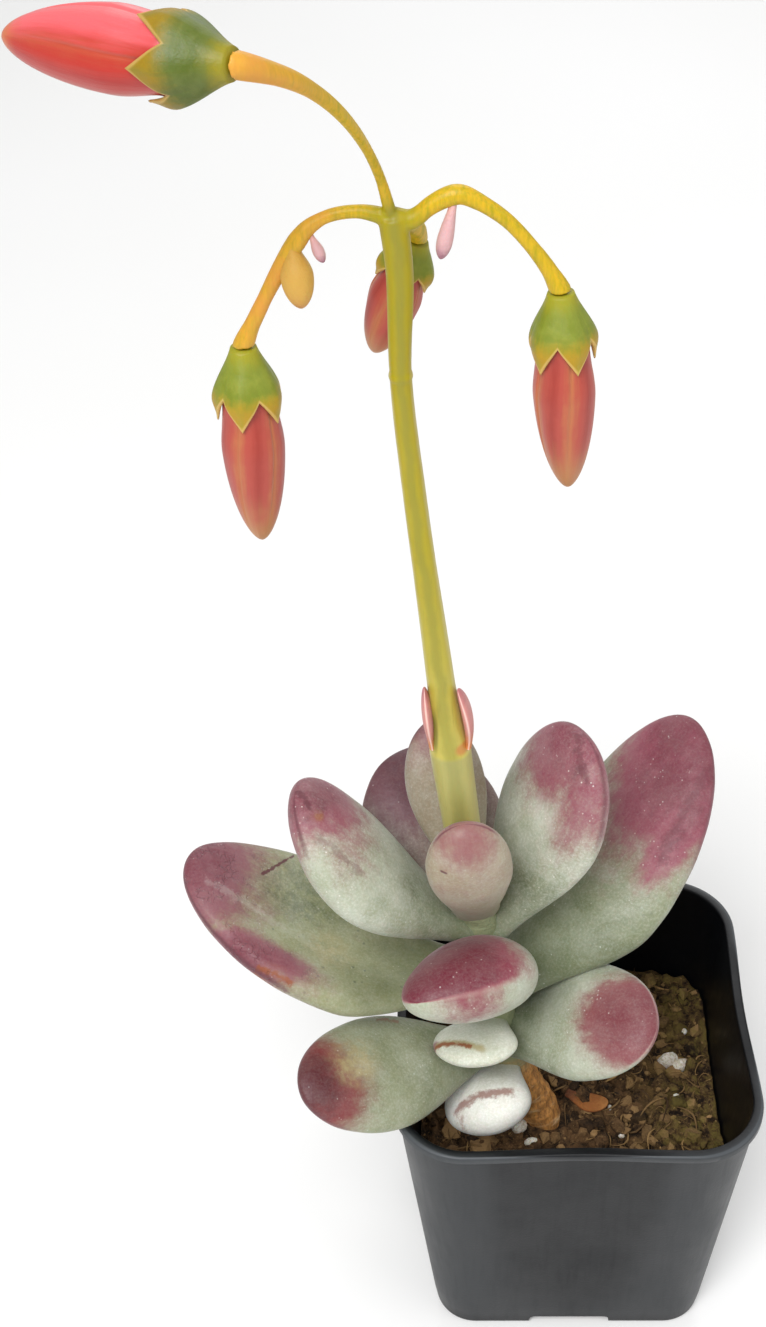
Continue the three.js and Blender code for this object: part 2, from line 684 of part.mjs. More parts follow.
// A pedicel from the fork, cut off square to its bud, just short of the calyx.
function pedicelSolid({ path, tip, radii }, grow) {
  const end = path[path.length - 1];
  const forward = new THREE.Vector3(...tip).sub(new THREE.Vector3(...end)).normalize();
  const past = new THREE.Vector3(...end).add(forward).toArray();
  const curve = curveThrough([FORK, ...path, past]);
  const pedicel = toSolid(rod(curve, (fraction) => along(radii, fraction) + grow, 8, 18));
  const beyond = new THREE.BoxGeometry(2 * CUT_PAST, 2 * CUT_PAST, CUT_PAST);
  beyond.translate(0, 0, CUT_PAST / 2 - CLEARANCE);
  return pedicel.subtract(toSolid(beyond.applyMatrix4(aimed(end, tip))));
}

// Adds an undeveloped bud, as thick as it is wide, that hangs from its pedicel.
function addBudlet({ from, ...form }) {
  const spec = { ...form, thick: form.width, point: 1.2 };
  addBlade(spec, new THREE.Vector3(...from), new THREE.Vector3(0, 1, 0), 'budlet', [stalkRoom]);
}

// Adds one leaf-like blade, cut clear of the given solids; what is cut loose is dropped.
function addBlade(spec, start, axis, finish, cutters) {
  const { matrix, length } = leafMatrix(start, axis, spec);
  const inWorld = (grow) => toSolid(leafGeometry(spec, length, grow).applyMatrix4(matrix));
  let solid = inWorld(0);
  for (const cutter of cutters) {
    solid = solid.subtract(cutter);
  }
  const pieces = solid.decompose().sort((a, b) => b.volume() - a.volume());
  const local = toGeometry(pieces[0]).applyMatrix4(matrix.clone().invert());
  addMesh(spec.name, local, finish, matrix);
  return inWorld(CLEARANCE);
}

const stemRoom = toSolid(stemGeometry(CLEARANCE));
const stalkRoom = stalkSolid(CLEARANCE);

addMesh('pot', toGeometry(potSolid()), 'pot');
addMesh('soil', toGeometry(soilSolid(stemRoom)), 'soil');
addMesh('stem', stemGeometry(0), 'stem');
addMesh('flower_stalk', toGeometry(stalkSolid(0)), 'stalk');
addLeaves([stemRoom, stalkRoom]);
for (const spec of BRACTS) {
  addBlade(spec, new THREE.Vector3(...spec.start), new THREE.Vector3(...spec.inward), 'bract', [stalkRoom]);
}
BUDS.forEach(addBud);
BUDLETS.forEach(addBudlet);
addBlade(DRY_LEAF, new THREE.Vector3(...DRY_LEAF.start), new THREE.Vector3(0, 0, 1), 'dry', []);

export default group;
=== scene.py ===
import logging
import math
from collections.abc import Callable, Iterator, Sequence
from contextlib import contextmanager
from dataclasses import dataclass, field
from enum import Enum

import bmesh
import bpy
import numpy as np
from mathutils import Matrix, Vector, noise


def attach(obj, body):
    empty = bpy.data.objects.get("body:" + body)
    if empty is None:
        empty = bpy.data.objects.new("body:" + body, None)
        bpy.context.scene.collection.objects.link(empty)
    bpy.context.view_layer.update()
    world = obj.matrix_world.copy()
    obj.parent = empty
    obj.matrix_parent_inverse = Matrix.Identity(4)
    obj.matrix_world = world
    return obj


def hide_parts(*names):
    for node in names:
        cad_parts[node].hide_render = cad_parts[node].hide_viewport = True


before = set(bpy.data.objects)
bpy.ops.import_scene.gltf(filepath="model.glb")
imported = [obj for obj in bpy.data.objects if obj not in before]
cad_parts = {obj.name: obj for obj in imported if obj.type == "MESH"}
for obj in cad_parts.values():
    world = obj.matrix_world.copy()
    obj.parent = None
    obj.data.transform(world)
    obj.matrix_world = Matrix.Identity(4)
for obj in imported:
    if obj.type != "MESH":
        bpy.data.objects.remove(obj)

log = logging.getLogger("potted_succulent")

MM = 0.001
BODY = "root"
SEED = 7

Piece = bpy.types.Object
Material = bpy.types.Material
Span = tuple[float, float]
Point = tuple[float, float, float]
Colour = tuple[float, float, float]


class Slot(str, Enum):
    """Material slots of the record that the pieces take their finish from."""

    POT = "pot"
    SOIL = "soil"
    STEM = "stem"
    STALK = "stalk"
    LEAF = "leaf"
    BRACT = "bract"
    CALYX = "calyx"
    PETALS = "petals"
    BUDLET = "budlet"
    TINY_BUD = "tiny_bud"
    DRY_LEAF = "dry_leaf"


class Tint(str, Enum):
    """Colourings that a patch or a streak can give a leaf."""

    BLUSH = "blush"
    WINE = "wine"
    RUST = "rust"
    STRAW = "straw"
    POWDER = "powder"
    MOSS = "moss"


class Operation(str, Enum):
    """What a tool does to a piece."""

    JOIN = "UNION"
    CUT = "DIFFERENCE"


class Side(Enum):
    """Which face of a leaf a patch or a streak lies on."""

    UPPER = 1.0
    UNDER = -1.0
    BOTH = 0.0


# Curves and small sums


def smoothstep(value: np.ndarray | float, low: float, high: float) -> np.ndarray | float:
    """Rises smoothly from 0 at `low` to 1 at `high`."""
    t = np.clip((value - low) / (high - low), 0.0, 1.0)
    return t * t * (3.0 - 2.0 * t)


@dataclass(frozen=True)
class Curve:
    """A smooth curve through points, read by the share of its length."""

    points: tuple[Point, ...]
    steps: int = 120

    def samples(self) -> np.ndarray:
        """Points close together along the curve.

        Returns:
            An array of places in millimetres.
        """
        knots = [np.array(p, float) for p in self.points]
        out = []
        for i in range(len(knots) - 1):
            here, there = knots[i], knots[i + 1]
            before = knots[i - 1] if i > 0 else 2 * here - there
            after = knots[i + 2] if i + 2 < len(knots) else 2 * there - here
            gaps = [max(np.linalg.norm(b - a) ** 0.5, 1e-3) for a, b in
                    ((before, here), (here, there), (there, after))]
            leave = ((here - before) / gaps[0] - (there - before) / (gaps[0] + gaps[1])
                     + (there - here) / gaps[1]) * gaps[1]
            arrive = ((there - here) / gaps[1] - (after - here) / (gaps[1] + gaps[2])
                      + (after - there) / gaps[2]) * gaps[1]
            t = np.linspace(0, 1, self.steps, endpoint=False)[:, None]
            out.append(here + leave * t + (3 * (there - here) - 2 * leave - arrive) * t ** 2
                       + (2 * (here - there) + leave + arrive) * t ** 3)
        out.append(knots[-1][None, :])
        return np.concatenate(out)

    def at(self, shares: np.ndarray) -> np.ndarray:
        """Places at shares of the curve's length.

        Args:
            shares: Numbers from 0 at the start to 1 at the end.

        Returns:
            One place for each share.
        """
        fine = self.samples()
        walked = np.concatenate([[0.0], np.cumsum(np.linalg.norm(np.diff(fine, axis=0), axis=1))])
        wanted = np.clip(shares, 0, 1) * walked[-1]
        return np.stack([np.interp(wanted, walked, fine[:, k]) for k in range(3)], axis=1)

    def at_height(self, height: float) -> tuple[np.ndarray, np.ndarray]:
        """The place and the direction where a rising curve has a height.

        Args:
            height: The height in millimetres.

        Returns:
            The place and the unit direction there.
        """
        fine = self.samples()
        i = int(np.clip(np.searchsorted(fine[:, 2], height), 1, len(fine) - 1))
        step = fine[i] - fine[i - 1]
        return fine[i], step / np.linalg.norm(step)


def tube_frames(places: np.ndarray) -> tuple[np.ndarray, np.ndarray]:
    """Two cross directions for each place of a tube, turned as little as possible.

    Args:
        places: The tube's middle line.

    Returns:
        The first and the second cross direction of each place.
    """
    tangents = np.gradient(places, axis=0)
    tangents /= np.linalg.norm(tangents, axis=1)[:, None]
    first = np.cross(tangents[0], (0.0, 1.0, 0.0))
    if np.linalg.norm(first) < 0.1:
        first = np.cross(tangents[0], (1.0, 0.0, 0.0))
    firsts = []
    for tangent in tangents:
        first = first - tangent * first.dot(tangent)
        first = first / np.linalg.norm(first)
        firsts.append(first)
    firsts = np.array(firsts)
    return firsts, np.cross(tangents, firsts)


# Workbench


class Bench:
    """The modelling operators, used as by hand: one piece at a time, nothing else selected."""

    @staticmethod
    def clear() -> None:
        """Deselects every object."""
        bpy.ops.object.select_all(action="DESELECT")

    @staticmethod
    def take(piece: Piece) -> None:
        """Makes one piece the only selected and the active one.

        Args:
            piece: The piece.
        """
        Bench.clear()
        piece.select_set(True)
        bpy.context.view_layer.objects.active = piece

    @staticmethod
    def named(name: str) -> Piece:
        """Names the primitive that was just added.

        Args:
            name: Its name.

        Returns:
            The piece.
        """
        piece = bpy.context.object
        piece.name = name
        piece.data.name = name
        return piece

    @staticmethod
    def sphere(name: str, segments: int, rings: int) -> Piece:
        """Adds a unit sphere to be shaped.

        Args:
            name: The piece's name.
            segments: Faces round it.
            rings: Faces from pole to pole.

        Returns:
            The new piece.
        """
        Bench.clear()
        bpy.ops.mesh.primitive_uv_sphere_add(segments=segments, ring_count=rings, radius=1.0)
        return Bench.named(name)

    @staticmethod
    def tube(name: str, sides: int, steps: int) -> Piece:
        """Adds a closed unit tube along +Z, from height 0 to 1, to be shaped.

        Args:
            name: The piece's name.
            sides: Faces round it.
            steps: Faces along it.

        Returns:
            The new piece.
        """
        Bench.clear()
        bpy.ops.mesh.primitive_circle_add(vertices=sides, radius=1.0, fill_type="TRIFAN")
        piece = Bench.named(name)
        with Bench.editing(piece):
            bpy.ops.mesh.select_all(action="SELECT")
            bpy.ops.mesh.extrude_region_move(TRANSFORM_OT_translate={"value": (0, 0, 1.0)})
            bpy.ops.mesh.select_all(action="SELECT")
            bpy.ops.mesh.normals_make_consistent(inside=False)
            bpy.ops.mesh.select_all(action="DESELECT")
            mesh = bmesh.from_edit_mesh(piece.data)
            for edge in mesh.edges:
                low, high = (v.co.z for v in edge.verts)
                edge.select_set(abs(low - high) > 0.5)
            bmesh.update_edit_mesh(piece.data)
            bpy.ops.mesh.subdivide_edgering(number_cuts=steps - 1, interpolation="LINEAR",
                                            smoothness=0.0, profile_shape_factor=0.0)
        return piece

    @staticmethod
    @contextmanager
    def editing(piece: Piece) -> Iterator[None]:
        """Opens a piece in edit mode and closes it again.

        Args:
            piece: The piece to edit.

        Yields:
            Nothing; the operators act on the piece meanwhile.
        """
        Bench.take(piece)
        bpy.ops.object.mode_set(mode="EDIT")
        try:
            yield
        finally:
            bpy.ops.object.mode_set(mode="OBJECT")

    @staticmethod
    def put(piece: Piece, places: np.ndarray) -> None:
        """Moves a piece's vertices to places in millimetres."""
        piece.data.vertices.foreach_set("co", (places * MM).astype(np.float32).ravel())

    @staticmethod
    def reshape(piece: Piece, places: np.ndarray) -> None:
        """Moves a piece's vertices and turns its faces outwards.

        Args:
            piece: The piece.
            places: One place in millimetres for each vertex.
        """
        Bench.put(piece, places)
        piece.data.update()
        with Bench.editing(piece):
            bpy.ops.mesh.select_all(action="SELECT")
            bpy.ops.mesh.normals_make_consistent(inside=False)
        Bench.take(piece)
        bpy.ops.object.shade_smooth()

    @staticmethod
    def places(piece: Piece) -> np.ndarray:
        """The vertices of a piece, in the mesh's own numbers.

        Args:
            piece: The piece.

        Returns:
            One place for each vertex.
        """
        flat = np.zeros(len(piece.data.vertices) * 3, np.float32)
        piece.data.vertices.foreach_get("co", flat)
        return flat.reshape(-1, 3).astype(float)

    @staticmethod
    def note(piece: Piece, name: str, values: np.ndarray) -> None:
        """Keeps a number or a vector for each vertex, for the materials to read.

        Args:
            piece: The piece.
            name: The attribute's name.
            values: One row for each vertex.
        """
        kind, key = ("FLOAT", "value") if values.ndim == 1 else ("FLOAT_VECTOR", "vector")
        layer = piece.data.attributes.new(name, kind, "POINT")
        layer.data.foreach_set(key, values.astype(np.float32).ravel())

    @staticmethod
    def modify(piece: Piece, kind: str, **settings: object) -> None:
        """Adds a modifier to a piece and applies it.

        Args:
            piece: The piece.
            kind: The modifier's type.
            **settings: Its settings.
        """
        Bench.take(piece)
        modifier = piece.modifiers.new(kind.lower(), kind)
        for key, value in settings.items():
            setattr(modifier, key, value)
        bpy.ops.object.modifier_apply(modifier=modifier.name)

    @staticmethod
    def cut(piece: Piece, tool: Piece, operation: Operation = Operation.CUT) -> None:
        """Joins or cuts a piece with a tool, which is then removed."""
        Bench.modify(piece, "BOOLEAN", operation=operation.value, solver="EXACT", object=tool)
        bpy.data.objects.remove(tool)

    @staticmethod
    def join(pieces: Sequence[Piece], name: str) -> Piece:
        """Joins pieces into one.

        Args:
            pieces: The pieces.
            name: The joined piece's name.

        Returns:
            The joined piece.
        """
        Bench.take(pieces[0])
        for piece in pieces:
            piece.select_set(True)
        bpy.ops.object.join()
        return Bench.named(name)

    @staticmethod
    def settle(piece: Piece, material: Material, slot: Slot, *nodes: str) -> None:
        """Dresses a finished piece, fixes it to the body and names its slot and its nodes.

        Args:
            piece: The finished piece.
            material: What it wears.
            slot: The record's material slot.
            *nodes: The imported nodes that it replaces.
        """
        piece.data.materials.clear()
        piece.data.materials.append(material)
        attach(piece, BODY)
        if nodes:
            piece.name = f"{nodes[0]}_look"
            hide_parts(*nodes)
        log.info("%s: %d faces, slot %s", piece.name, len(piece.data.polygons), slot.value)


def roughen(places: np.ndarray, directions: np.ndarray, size: float, height: float,
            seed: float = 0.0) -> np.ndarray:
    """Moves places in and out along directions, by smooth noise.

    Args:
        places: The places, in millimetres.
        directions: One unit direction for each place.
        size: The size of one lump.
        height: The greatest move.
        seed: Shifts the pattern.

    Returns:
        The moved places.
    """
    shift = Vector((seed, 2.3 * seed, -seed))
    lumps = np.array([noise.noise(Vector(p) / size + shift) for p in places])
    return places + directions * (height * lumps)[:, None]


def swept(piece: Piece, path: Curve, steps: int) -> tuple[np.ndarray, np.ndarray, np.ndarray]:
    """Reads how a unit tube is laid along a curve.

    Args:
        piece: The tube.
        path: The curve.
        steps: Faces along the tube.

    Returns:
        For each vertex its share of the length, its place on the curve and its way out from there.
    """
    unit = Bench.places(piece)
    station = np.rint(unit[:, 2] * steps).astype(int)
    middles = path.at(np.linspace(0, 1, steps + 1))
    first, second = tube_frames(middles)
    out = first[station] * unit[:, 0:1] + second[station] * unit[:, 1:2]
    return unit[:, 2], middles[station], out


# Material nodes


Socket = bpy.types.NodeSocket
Input = Socket | float | str | Sequence[float]
Coat = tuple[Input, Input]
MEASURES = ("DOT_PRODUCT", "DISTANCE", "LENGTH")


class Desk:
    """Wires one material's nodes, and takes a colour as a socket or as six hex digits."""

    def __init__(self, name: str) -> None:
        """Starts an empty material with a surface shader.

        Args:
            name: The material's name.
        """
        self.material = bpy.data.materials.new(name)
        self.material.use_nodes = True
        self.tree = self.material.node_tree
        self.tree.nodes.clear()
        self.skin = self.node("BsdfPrincipled")
        self.node("OutputMaterial", ("Surface", self.skin.outputs["BSDF"]))
        self.place = self.node("TexCoord").outputs["Object"]

    def plug(self, value: Input, socket: Socket) -> None:
        """Links a socket or sets a value on it.

        Args:
            value: Another socket, a number, a vector or a colour.
            socket: Where it goes in.
        """
        if isinstance(value, str):
            value = shade(value)
        if isinstance(value, bpy.types.NodeSocket):
            self.tree.links.new(value, socket)
        elif socket.type == "RGBA":
            socket.default_value = (*value, 1.0)
        else:
            socket.default_value = value

    def node(self, kind: str, *plugs: tuple[str | int, Input],
             **settings: object) -> bpy.types.Node:
        """Adds a node.

        Args:
            kind: Its type.
            *plugs: The name or the number of an input, and what goes in.
            **settings: Its settings.

        Returns:
            The node.
        """
        node = self.tree.nodes.new(f"ShaderNode{kind}")
        for key, value in settings.items():
            setattr(node, key, value)
        for key, value in plugs:
            self.plug(value, node.inputs[key])
        return node

    def sum(self, operation: str, a: Input, b: Input = 0.0, clamp: bool = False) -> Socket:
        """A sum of two numbers, kept between 0 and 1 if so wished."""
        return self.node("Math", (0, a), (1, b), operation=operation, use_clamp=clamp).outputs[0]

    def times(self, a: Input, b: Input) -> Socket:
        """The product of two numbers."""
        return self.sum("MULTIPLY", a, b)

    def fray(self, value: Input, *layers: tuple[Socket, float]) -> Socket:
        """A number frayed by layers of noise.

        Args:
            value: The number.
            *layers: Each noise, from 0 to 1, with how far it moves the number up and down.

        Returns:
            The frayed number.
        """
        for layer, reach in layers:
            value = self.sum("ADD", value, self.times(self.sum("SUBTRACT", layer, 0.5), 2 * reach))
        return value

    def vector(self, operation: str, a: Input, b: Input = (0.0, 0.0, 0.0),
               scale: Input = 1.0) -> Socket:
        """A sum of two vectors, or of one and a scale.

        Args:
            operation: What is done with them.
            a: The first vector.
            b: The second vector.
            scale: The scale, where the operation takes one.

        Returns:
            The result, a number where the operation measures.
        """
        plugs = [(0, a), ("Scale", scale)] if operation == "SCALE" else [(0, a), (1, b)]
        outputs = self.node("VectorMath", *plugs, operation=operation).outputs
        return outputs["Value" if operation in MEASURES else "Vector"]

    def split(self, vector: Socket) -> tuple[Socket, ...]:
        """The three numbers of a vector."""
        return tuple(self.node("SeparateXYZ", (0, vector)).outputs)

    def stretch(self, vector: Socket, scale: Point) -> Socket:
        """A place scaled along each axis, for a pattern that is drawn out."""
        return self.node("Mapping", ("Vector", vector), ("Scale", scale)).outputs[0]

    def pattern(self, kind: str, size: float, at: Socket | None, *plugs: tuple[str, float],
                **settings: object) -> bpy.types.Node:
        """A texture with lumps of a size in millimetres, read at a place or the object's own."""
        place = self.place if at is None else at
        return self.node(f"Tex{kind}", ("Vector", place), ("Scale", 1.0 / (size * MM)), *plugs,
                         **settings)

    def noise(self, size: float, detail: float = 3.0, rough: float = 0.55,
              at: Socket | None = None) -> Socket:
        """Soft noise from 0 to 1, with finer layers and how strong those are."""
        plugs = (("Detail", detail), ("Roughness", rough))
        return self.pattern("Noise", size, at, *plugs).outputs["Fac"]

    def astray(self, size: float, reach: float) -> Socket:
        """The object's own place, led astray by noise with lumps of a size, in millimetres."""
        way = self.pattern("Noise", size, None).outputs["Color"]
        return self.vector("ADD", self.place, self.vector("SCALE", way, scale=2 * reach * MM))

    def cells(self, size: float, at: Socket | None = None, feature: str = "F1") -> Socket:
        """The distance that a pattern of cells gives."""
        return self.pattern("Voronoi", size, at, feature=feature).outputs["Distance"]

    def step(self, value: Input, low: float, high: float, start: float = 0.0,
             end: float = 1.0) -> Socket:
        """A smooth step of a number.

        Args:
            value: The number.
            low: Where the step begins.
            high: Where it ends.
            start: The result before it.
            end: The result after it.

        Returns:
            The result.
        """
        node = self.node("MapRange", ("Value", value), ("From Min", low), ("From Max", high),
                         ("To Min", start), ("To Max", end), interpolation_type="SMOOTHSTEP")
        return node.outputs[0]

    def paint(self, colour: Input, *coats: Coat) -> Input:
        """Lays coats of colour over a colour.

        Args:
            colour: The colour under them.
            *coats: Where each coat shows, from 0 to 1, and its colour.

        Returns:
            The new colour.
        """
        for where, coat in coats:
            plugs = ((0, where), (6, colour), (7, coat))
            colour = self.node("Mix", *plugs, data_type="RGBA").outputs[2]
        return colour

    def read(self, name: str, kind: str = "Fac") -> Socket:
        """One of a piece's own attributes, as a number or, with "Vector", as a vector."""
        return self.node("Attribute", attribute_name=name).outputs[kind]

    def relief(self, *layers: tuple[Socket, float]) -> Socket:
        """Bumps the surface.

        Args:
            *layers: The height of each layer, from 0 to 1, and its depth in millimetres.

        Returns:
            The new normal.
        """
        under = ()
        for height, depth in layers:
            node = self.node("Bump", ("Distance", depth * MM), ("Height", height), *under)
            under = (("Normal", node.outputs[0]),)
        return node.outputs[0]

    def dress(self, colour: Input, rough: Input, normal: Socket | None = None,
              **more: Input) -> Material:
        """Connects the shader.

        Args:
            colour: The surface colour.
            rough: The roughness.
            normal: The bumped normal.
            **more: Other inputs by name, with `_` for a blank.

        Returns:
            The finished material.
        """
        plugs = {"Base Color": colour, "Roughness": rough}
        if normal is not None:
            plugs["Normal"] = normal
        for key, value in more.items():
            plugs[key.replace("_", " ").title().replace("Ior", "IOR")] = value
        for key, value in plugs.items():
            self.plug(value, self.skin.inputs[key])
        return self.material


def shade(code: str) -> Colour:
    """A colour written as six hex digits, as the linear numbers that a shader takes."""
    parts = [int(code[i:i + 2], 16) / 255 for i in (0, 2, 4)]
    return tuple(p / 12.92 if p <= 0.04045 else ((p + 0.055) / 1.055) ** 2.4 for p in parts)


# Leaves


@dataclass(frozen=True)
class Patch:
    """A soft patch of colour on a leaf.

    `across` and `along` give its middle in millimetres on the leaf, `wide` and `long` its reach,
    and `side` the face that it lies on.
    """

    tint: Tint
    across: float
    along: float
    wide: float
    long: float
    strength: float = 1.0
    side: Side = Side.BOTH

    def share(self, sheet: np.ndarray) -> np.ndarray:
        """How strong the patch is at each place of a leaf.

        Args:
            sheet: Rows of millimetres across, millimetres along, and face from -1 to 1.

        Returns:
            One number for each row.
        """
        aside, onward = sheet[:, 0] - self.across, sheet[:, 1] - self.along
        far = np.hypot(aside / self.wide, onward / self.long)
        share = self.strength * (1.0 - smoothstep(far, 0.12, 1.0))
        if self.side is not Side.BOTH:
            share = share * smoothstep(sheet[:, 2] * self.side.value, -0.25, 0.35)
        return share


@dataclass(frozen=True)
class Streak:
    """A ragged line of colour on a leaf, from one place to another, in millimetres."""

    tint: Tint
    start: Span
    end: Span
    width: float
    strength: float = 1.0
    ragged: float = 0.8
    side: Side = Side.UPPER


@dataclass(frozen=True)
class LeafFinish:
    """Waxy leaf skin: sage green under a whitish bloom, blushed towards the tip."""

    flesh: str = "677050"
    pale: str = "9fa58c"
    bloom: str = "dadcd2"
    blush: str = "8c4756"
    deep: str = "6f2a3a"
    rim: str = "5c2a35"
    edged: float = 0.5
    veil: float = 0.46
    specks: float = 0.2
    speck: str = "46523a"
    grain: str = "eceae4"
    cracks: float = 0.0
    tints: tuple[tuple[Tint, str], ...] = (
        (Tint.MOSS, "5f6746"),
        (Tint.STRAW, "a89a6c"),
        (Tint.WINE, "5a2a33"),
        (Tint.RUST, "8a4a2a"),
        (Tint.POWDER, "e9e8e0"),
    )

    def material(self, name: str, streaks: Sequence[Streak]) -> Material:
        """The skin of one leaf.

        Args:
            name: The leaf's name.
            streaks: Its ragged lines.

        Returns:
            The material.
        """
        desk = Desk(f"{name}_skin")
        sheet = desk.read("sheet", "Vector")
        face = desk.split(sheet)[2]
        clouds = desk.noise(8.0)
        mottle = desk.noise(1.8, 5.0, 0.68)
        grain = desk.noise(0.42, 4.0, 0.75)
        drawn = desk.noise(1.0, 4.0, 0.7, at=desk.stretch(sheet, (MM, 0.16 * MM, 0.0)))
        along = desk.fray(desk.read("share"), (clouds, 0.3), (mottle, 0.12))
        blush = desk.fray(desk.read("blush"), (clouds, 0.3), (mottle, 0.28), (drawn, 0.22))
        pink = desk.step(blush, 0.04, 0.85)
        edge = desk.sum("ABSOLUTE", desk.fray(face, (mottle, 0.1)))
        edge = desk.step(edge, 0.2, 0.02, 0.0, self.edged)
        colour = desk.paint(
            self.flesh,
            # Darker green towards the foot and paler sage towards the belly: partly the leaf's own
            # colour, partly painted shade near the stem.
            (desk.step(along, 0.12, 0.62), self.pale),
            (desk.step(mottle, 0.5, 0.8, 0.0, 0.3), self.flesh),
            (self.speckled(desk), self.speck),
            (pink, self.blush),
            (desk.step(blush, 0.72, 1.35), self.deep),
            *((self.tinted(desk, tint, mottle), code) for tint, code in self.tints),
            *self.bloomed(desk, pink, grain),
            *(self.streaked(desk, streak, sheet, face) for streak in streaks),
            (desk.times(edge, desk.step(blush, 0.15, 0.6)), self.rim),
        )
        return self.finished(desk, colour, grain, mottle, pink)

    def speckled(self, desk: Desk) -> Socket:
        """Where small dark green specks show, in loose groups."""
        groups = desk.step(desk.noise(5.0), 0.48, 0.62, 0.0, self.specks)
        return desk.times(desk.step(desk.cells(1.3), 0.28, 0.1), groups)

    def tinted(self, desk: Desk, tint: Tint, mottle: Socket) -> Socket:
        """Where the patches of one tint show, their edges frayed by noise."""
        frayed = desk.times(desk.read(tint.value), desk.step(mottle, 0.3, 0.7, 0.45, 1.4))
        return desk.step(frayed, 0.05, 1.0, 0.0, 0.95)

    def bloomed(self, desk: Desk, pink: Socket, grain: Socket) -> tuple[Coat, Coat]:
        """The whitish bloom: a broad veil with a fine powder, and a few white grains.

        Args:
            desk: The material.
            pink: Where the leaf is blushed, and so wears less bloom.
            grain: Fine noise.

        Returns:
            The coat of bloom and the coat of grains.
        """
        veil = desk.step(desk.noise(5.5, 4.0, 0.6), 0.3, 0.75, 0.25, 0.85)
        powder = desk.sum("ADD", veil, desk.step(grain, 0.38, 0.75, -0.28, 0.5))
        powder = desk.times(powder, desk.step(desk.read("share"), 0.05, 0.55, 0.35, 1.0))
        spared = desk.times(powder, desk.step(pink, 0.2, 1.0, self.veil, 0.25 * self.veil))
        groups = desk.step(desk.noise(3.0), 0.5, 0.66, 0.0, 1.2 * self.veil)
        grains = desk.times(desk.step(desk.cells(0.9), 0.2, 0.08), groups)
        return (desk.sum("MINIMUM", spared, 0.92), self.bloom), (grains, self.grain)

    def streaked(self, desk: Desk, streak: Streak, sheet: Socket, face: Socket) -> Coat:
        """One ragged line.

        Args:
            desk: The material.
            streak: The line.
            sheet: The place on the leaf.
            face: The face, from -1 to 1.

        Returns:
            Its coat.
        """
        flat = desk.vector("MULTIPLY", sheet, (1.0, 1.0, 0.0))
        way = Vector((streak.end[0] - streak.start[0], streak.end[1] - streak.start[1], 0.0))
        rel = desk.vector("SUBTRACT", flat, (*streak.start, 0.0))
        dot = desk.vector("DOT_PRODUCT", rel, tuple(way))
        share = desk.sum("DIVIDE", dot, way.length_squared, clamp=True)
        far = desk.vector("DISTANCE", rel, desk.vector("SCALE", tuple(way), scale=share))
        far = desk.fray(far, (desk.noise(1.1, 4.0, 0.7), 1.25 * streak.ragged))
        mask = desk.step(far, streak.width / 2, 0.1 * streak.width, 0.0, streak.strength)
        if streak.side is not Side.BOTH:
            mask = desk.times(mask, desk.step(desk.times(face, streak.side.value), 0.0, 0.3))
        return mask, dict(self.tints).get(streak.tint, self.deep)

    def finished(self, desk: Desk, colour: Socket, grain: Socket, mottle: Socket,
                 pink: Socket) -> Material:
        """Adds the relief: shallow dents, pores and, on an old tip, fine cracks.

        Args:
            desk: The material.
            colour: The finished colour.
            grain: Fine noise.
            mottle: Coarse noise.
            pink: Where the leaf is blushed.

        Returns:
            The material.
        """
        layers = [(desk.noise(4.0, 3.0, 0.5), 0.3)]
        if self.cracks:
            lines = desk.cells(1.5, at=desk.astray(1.2, 1.0), feature="DISTANCE_TO_EDGE")
            some = desk.times(pink, desk.step(desk.noise(3.0), 0.45, 0.6))
            cracked = desk.times(desk.step(lines, 0.08, 0.0), some)
            colour = desk.paint(colour, (desk.times(cracked, 0.35 * self.cracks), self.rim))
            layers.append((desk.sum("SUBTRACT", 1.0, cracked), 0.12 * self.cracks))
        normal = desk.relief(*layers, (grain, 0.03))
        rough = desk.step(mottle, 0.3, 0.75, 0.45, 0.6)
        return desk.dress(colour, rough, normal, subsurface_weight=0.1, subsurface_scale=0.002,
                          specular_ior_level=0.4, sheen_weight=0.1, sheen_roughness=0.5)


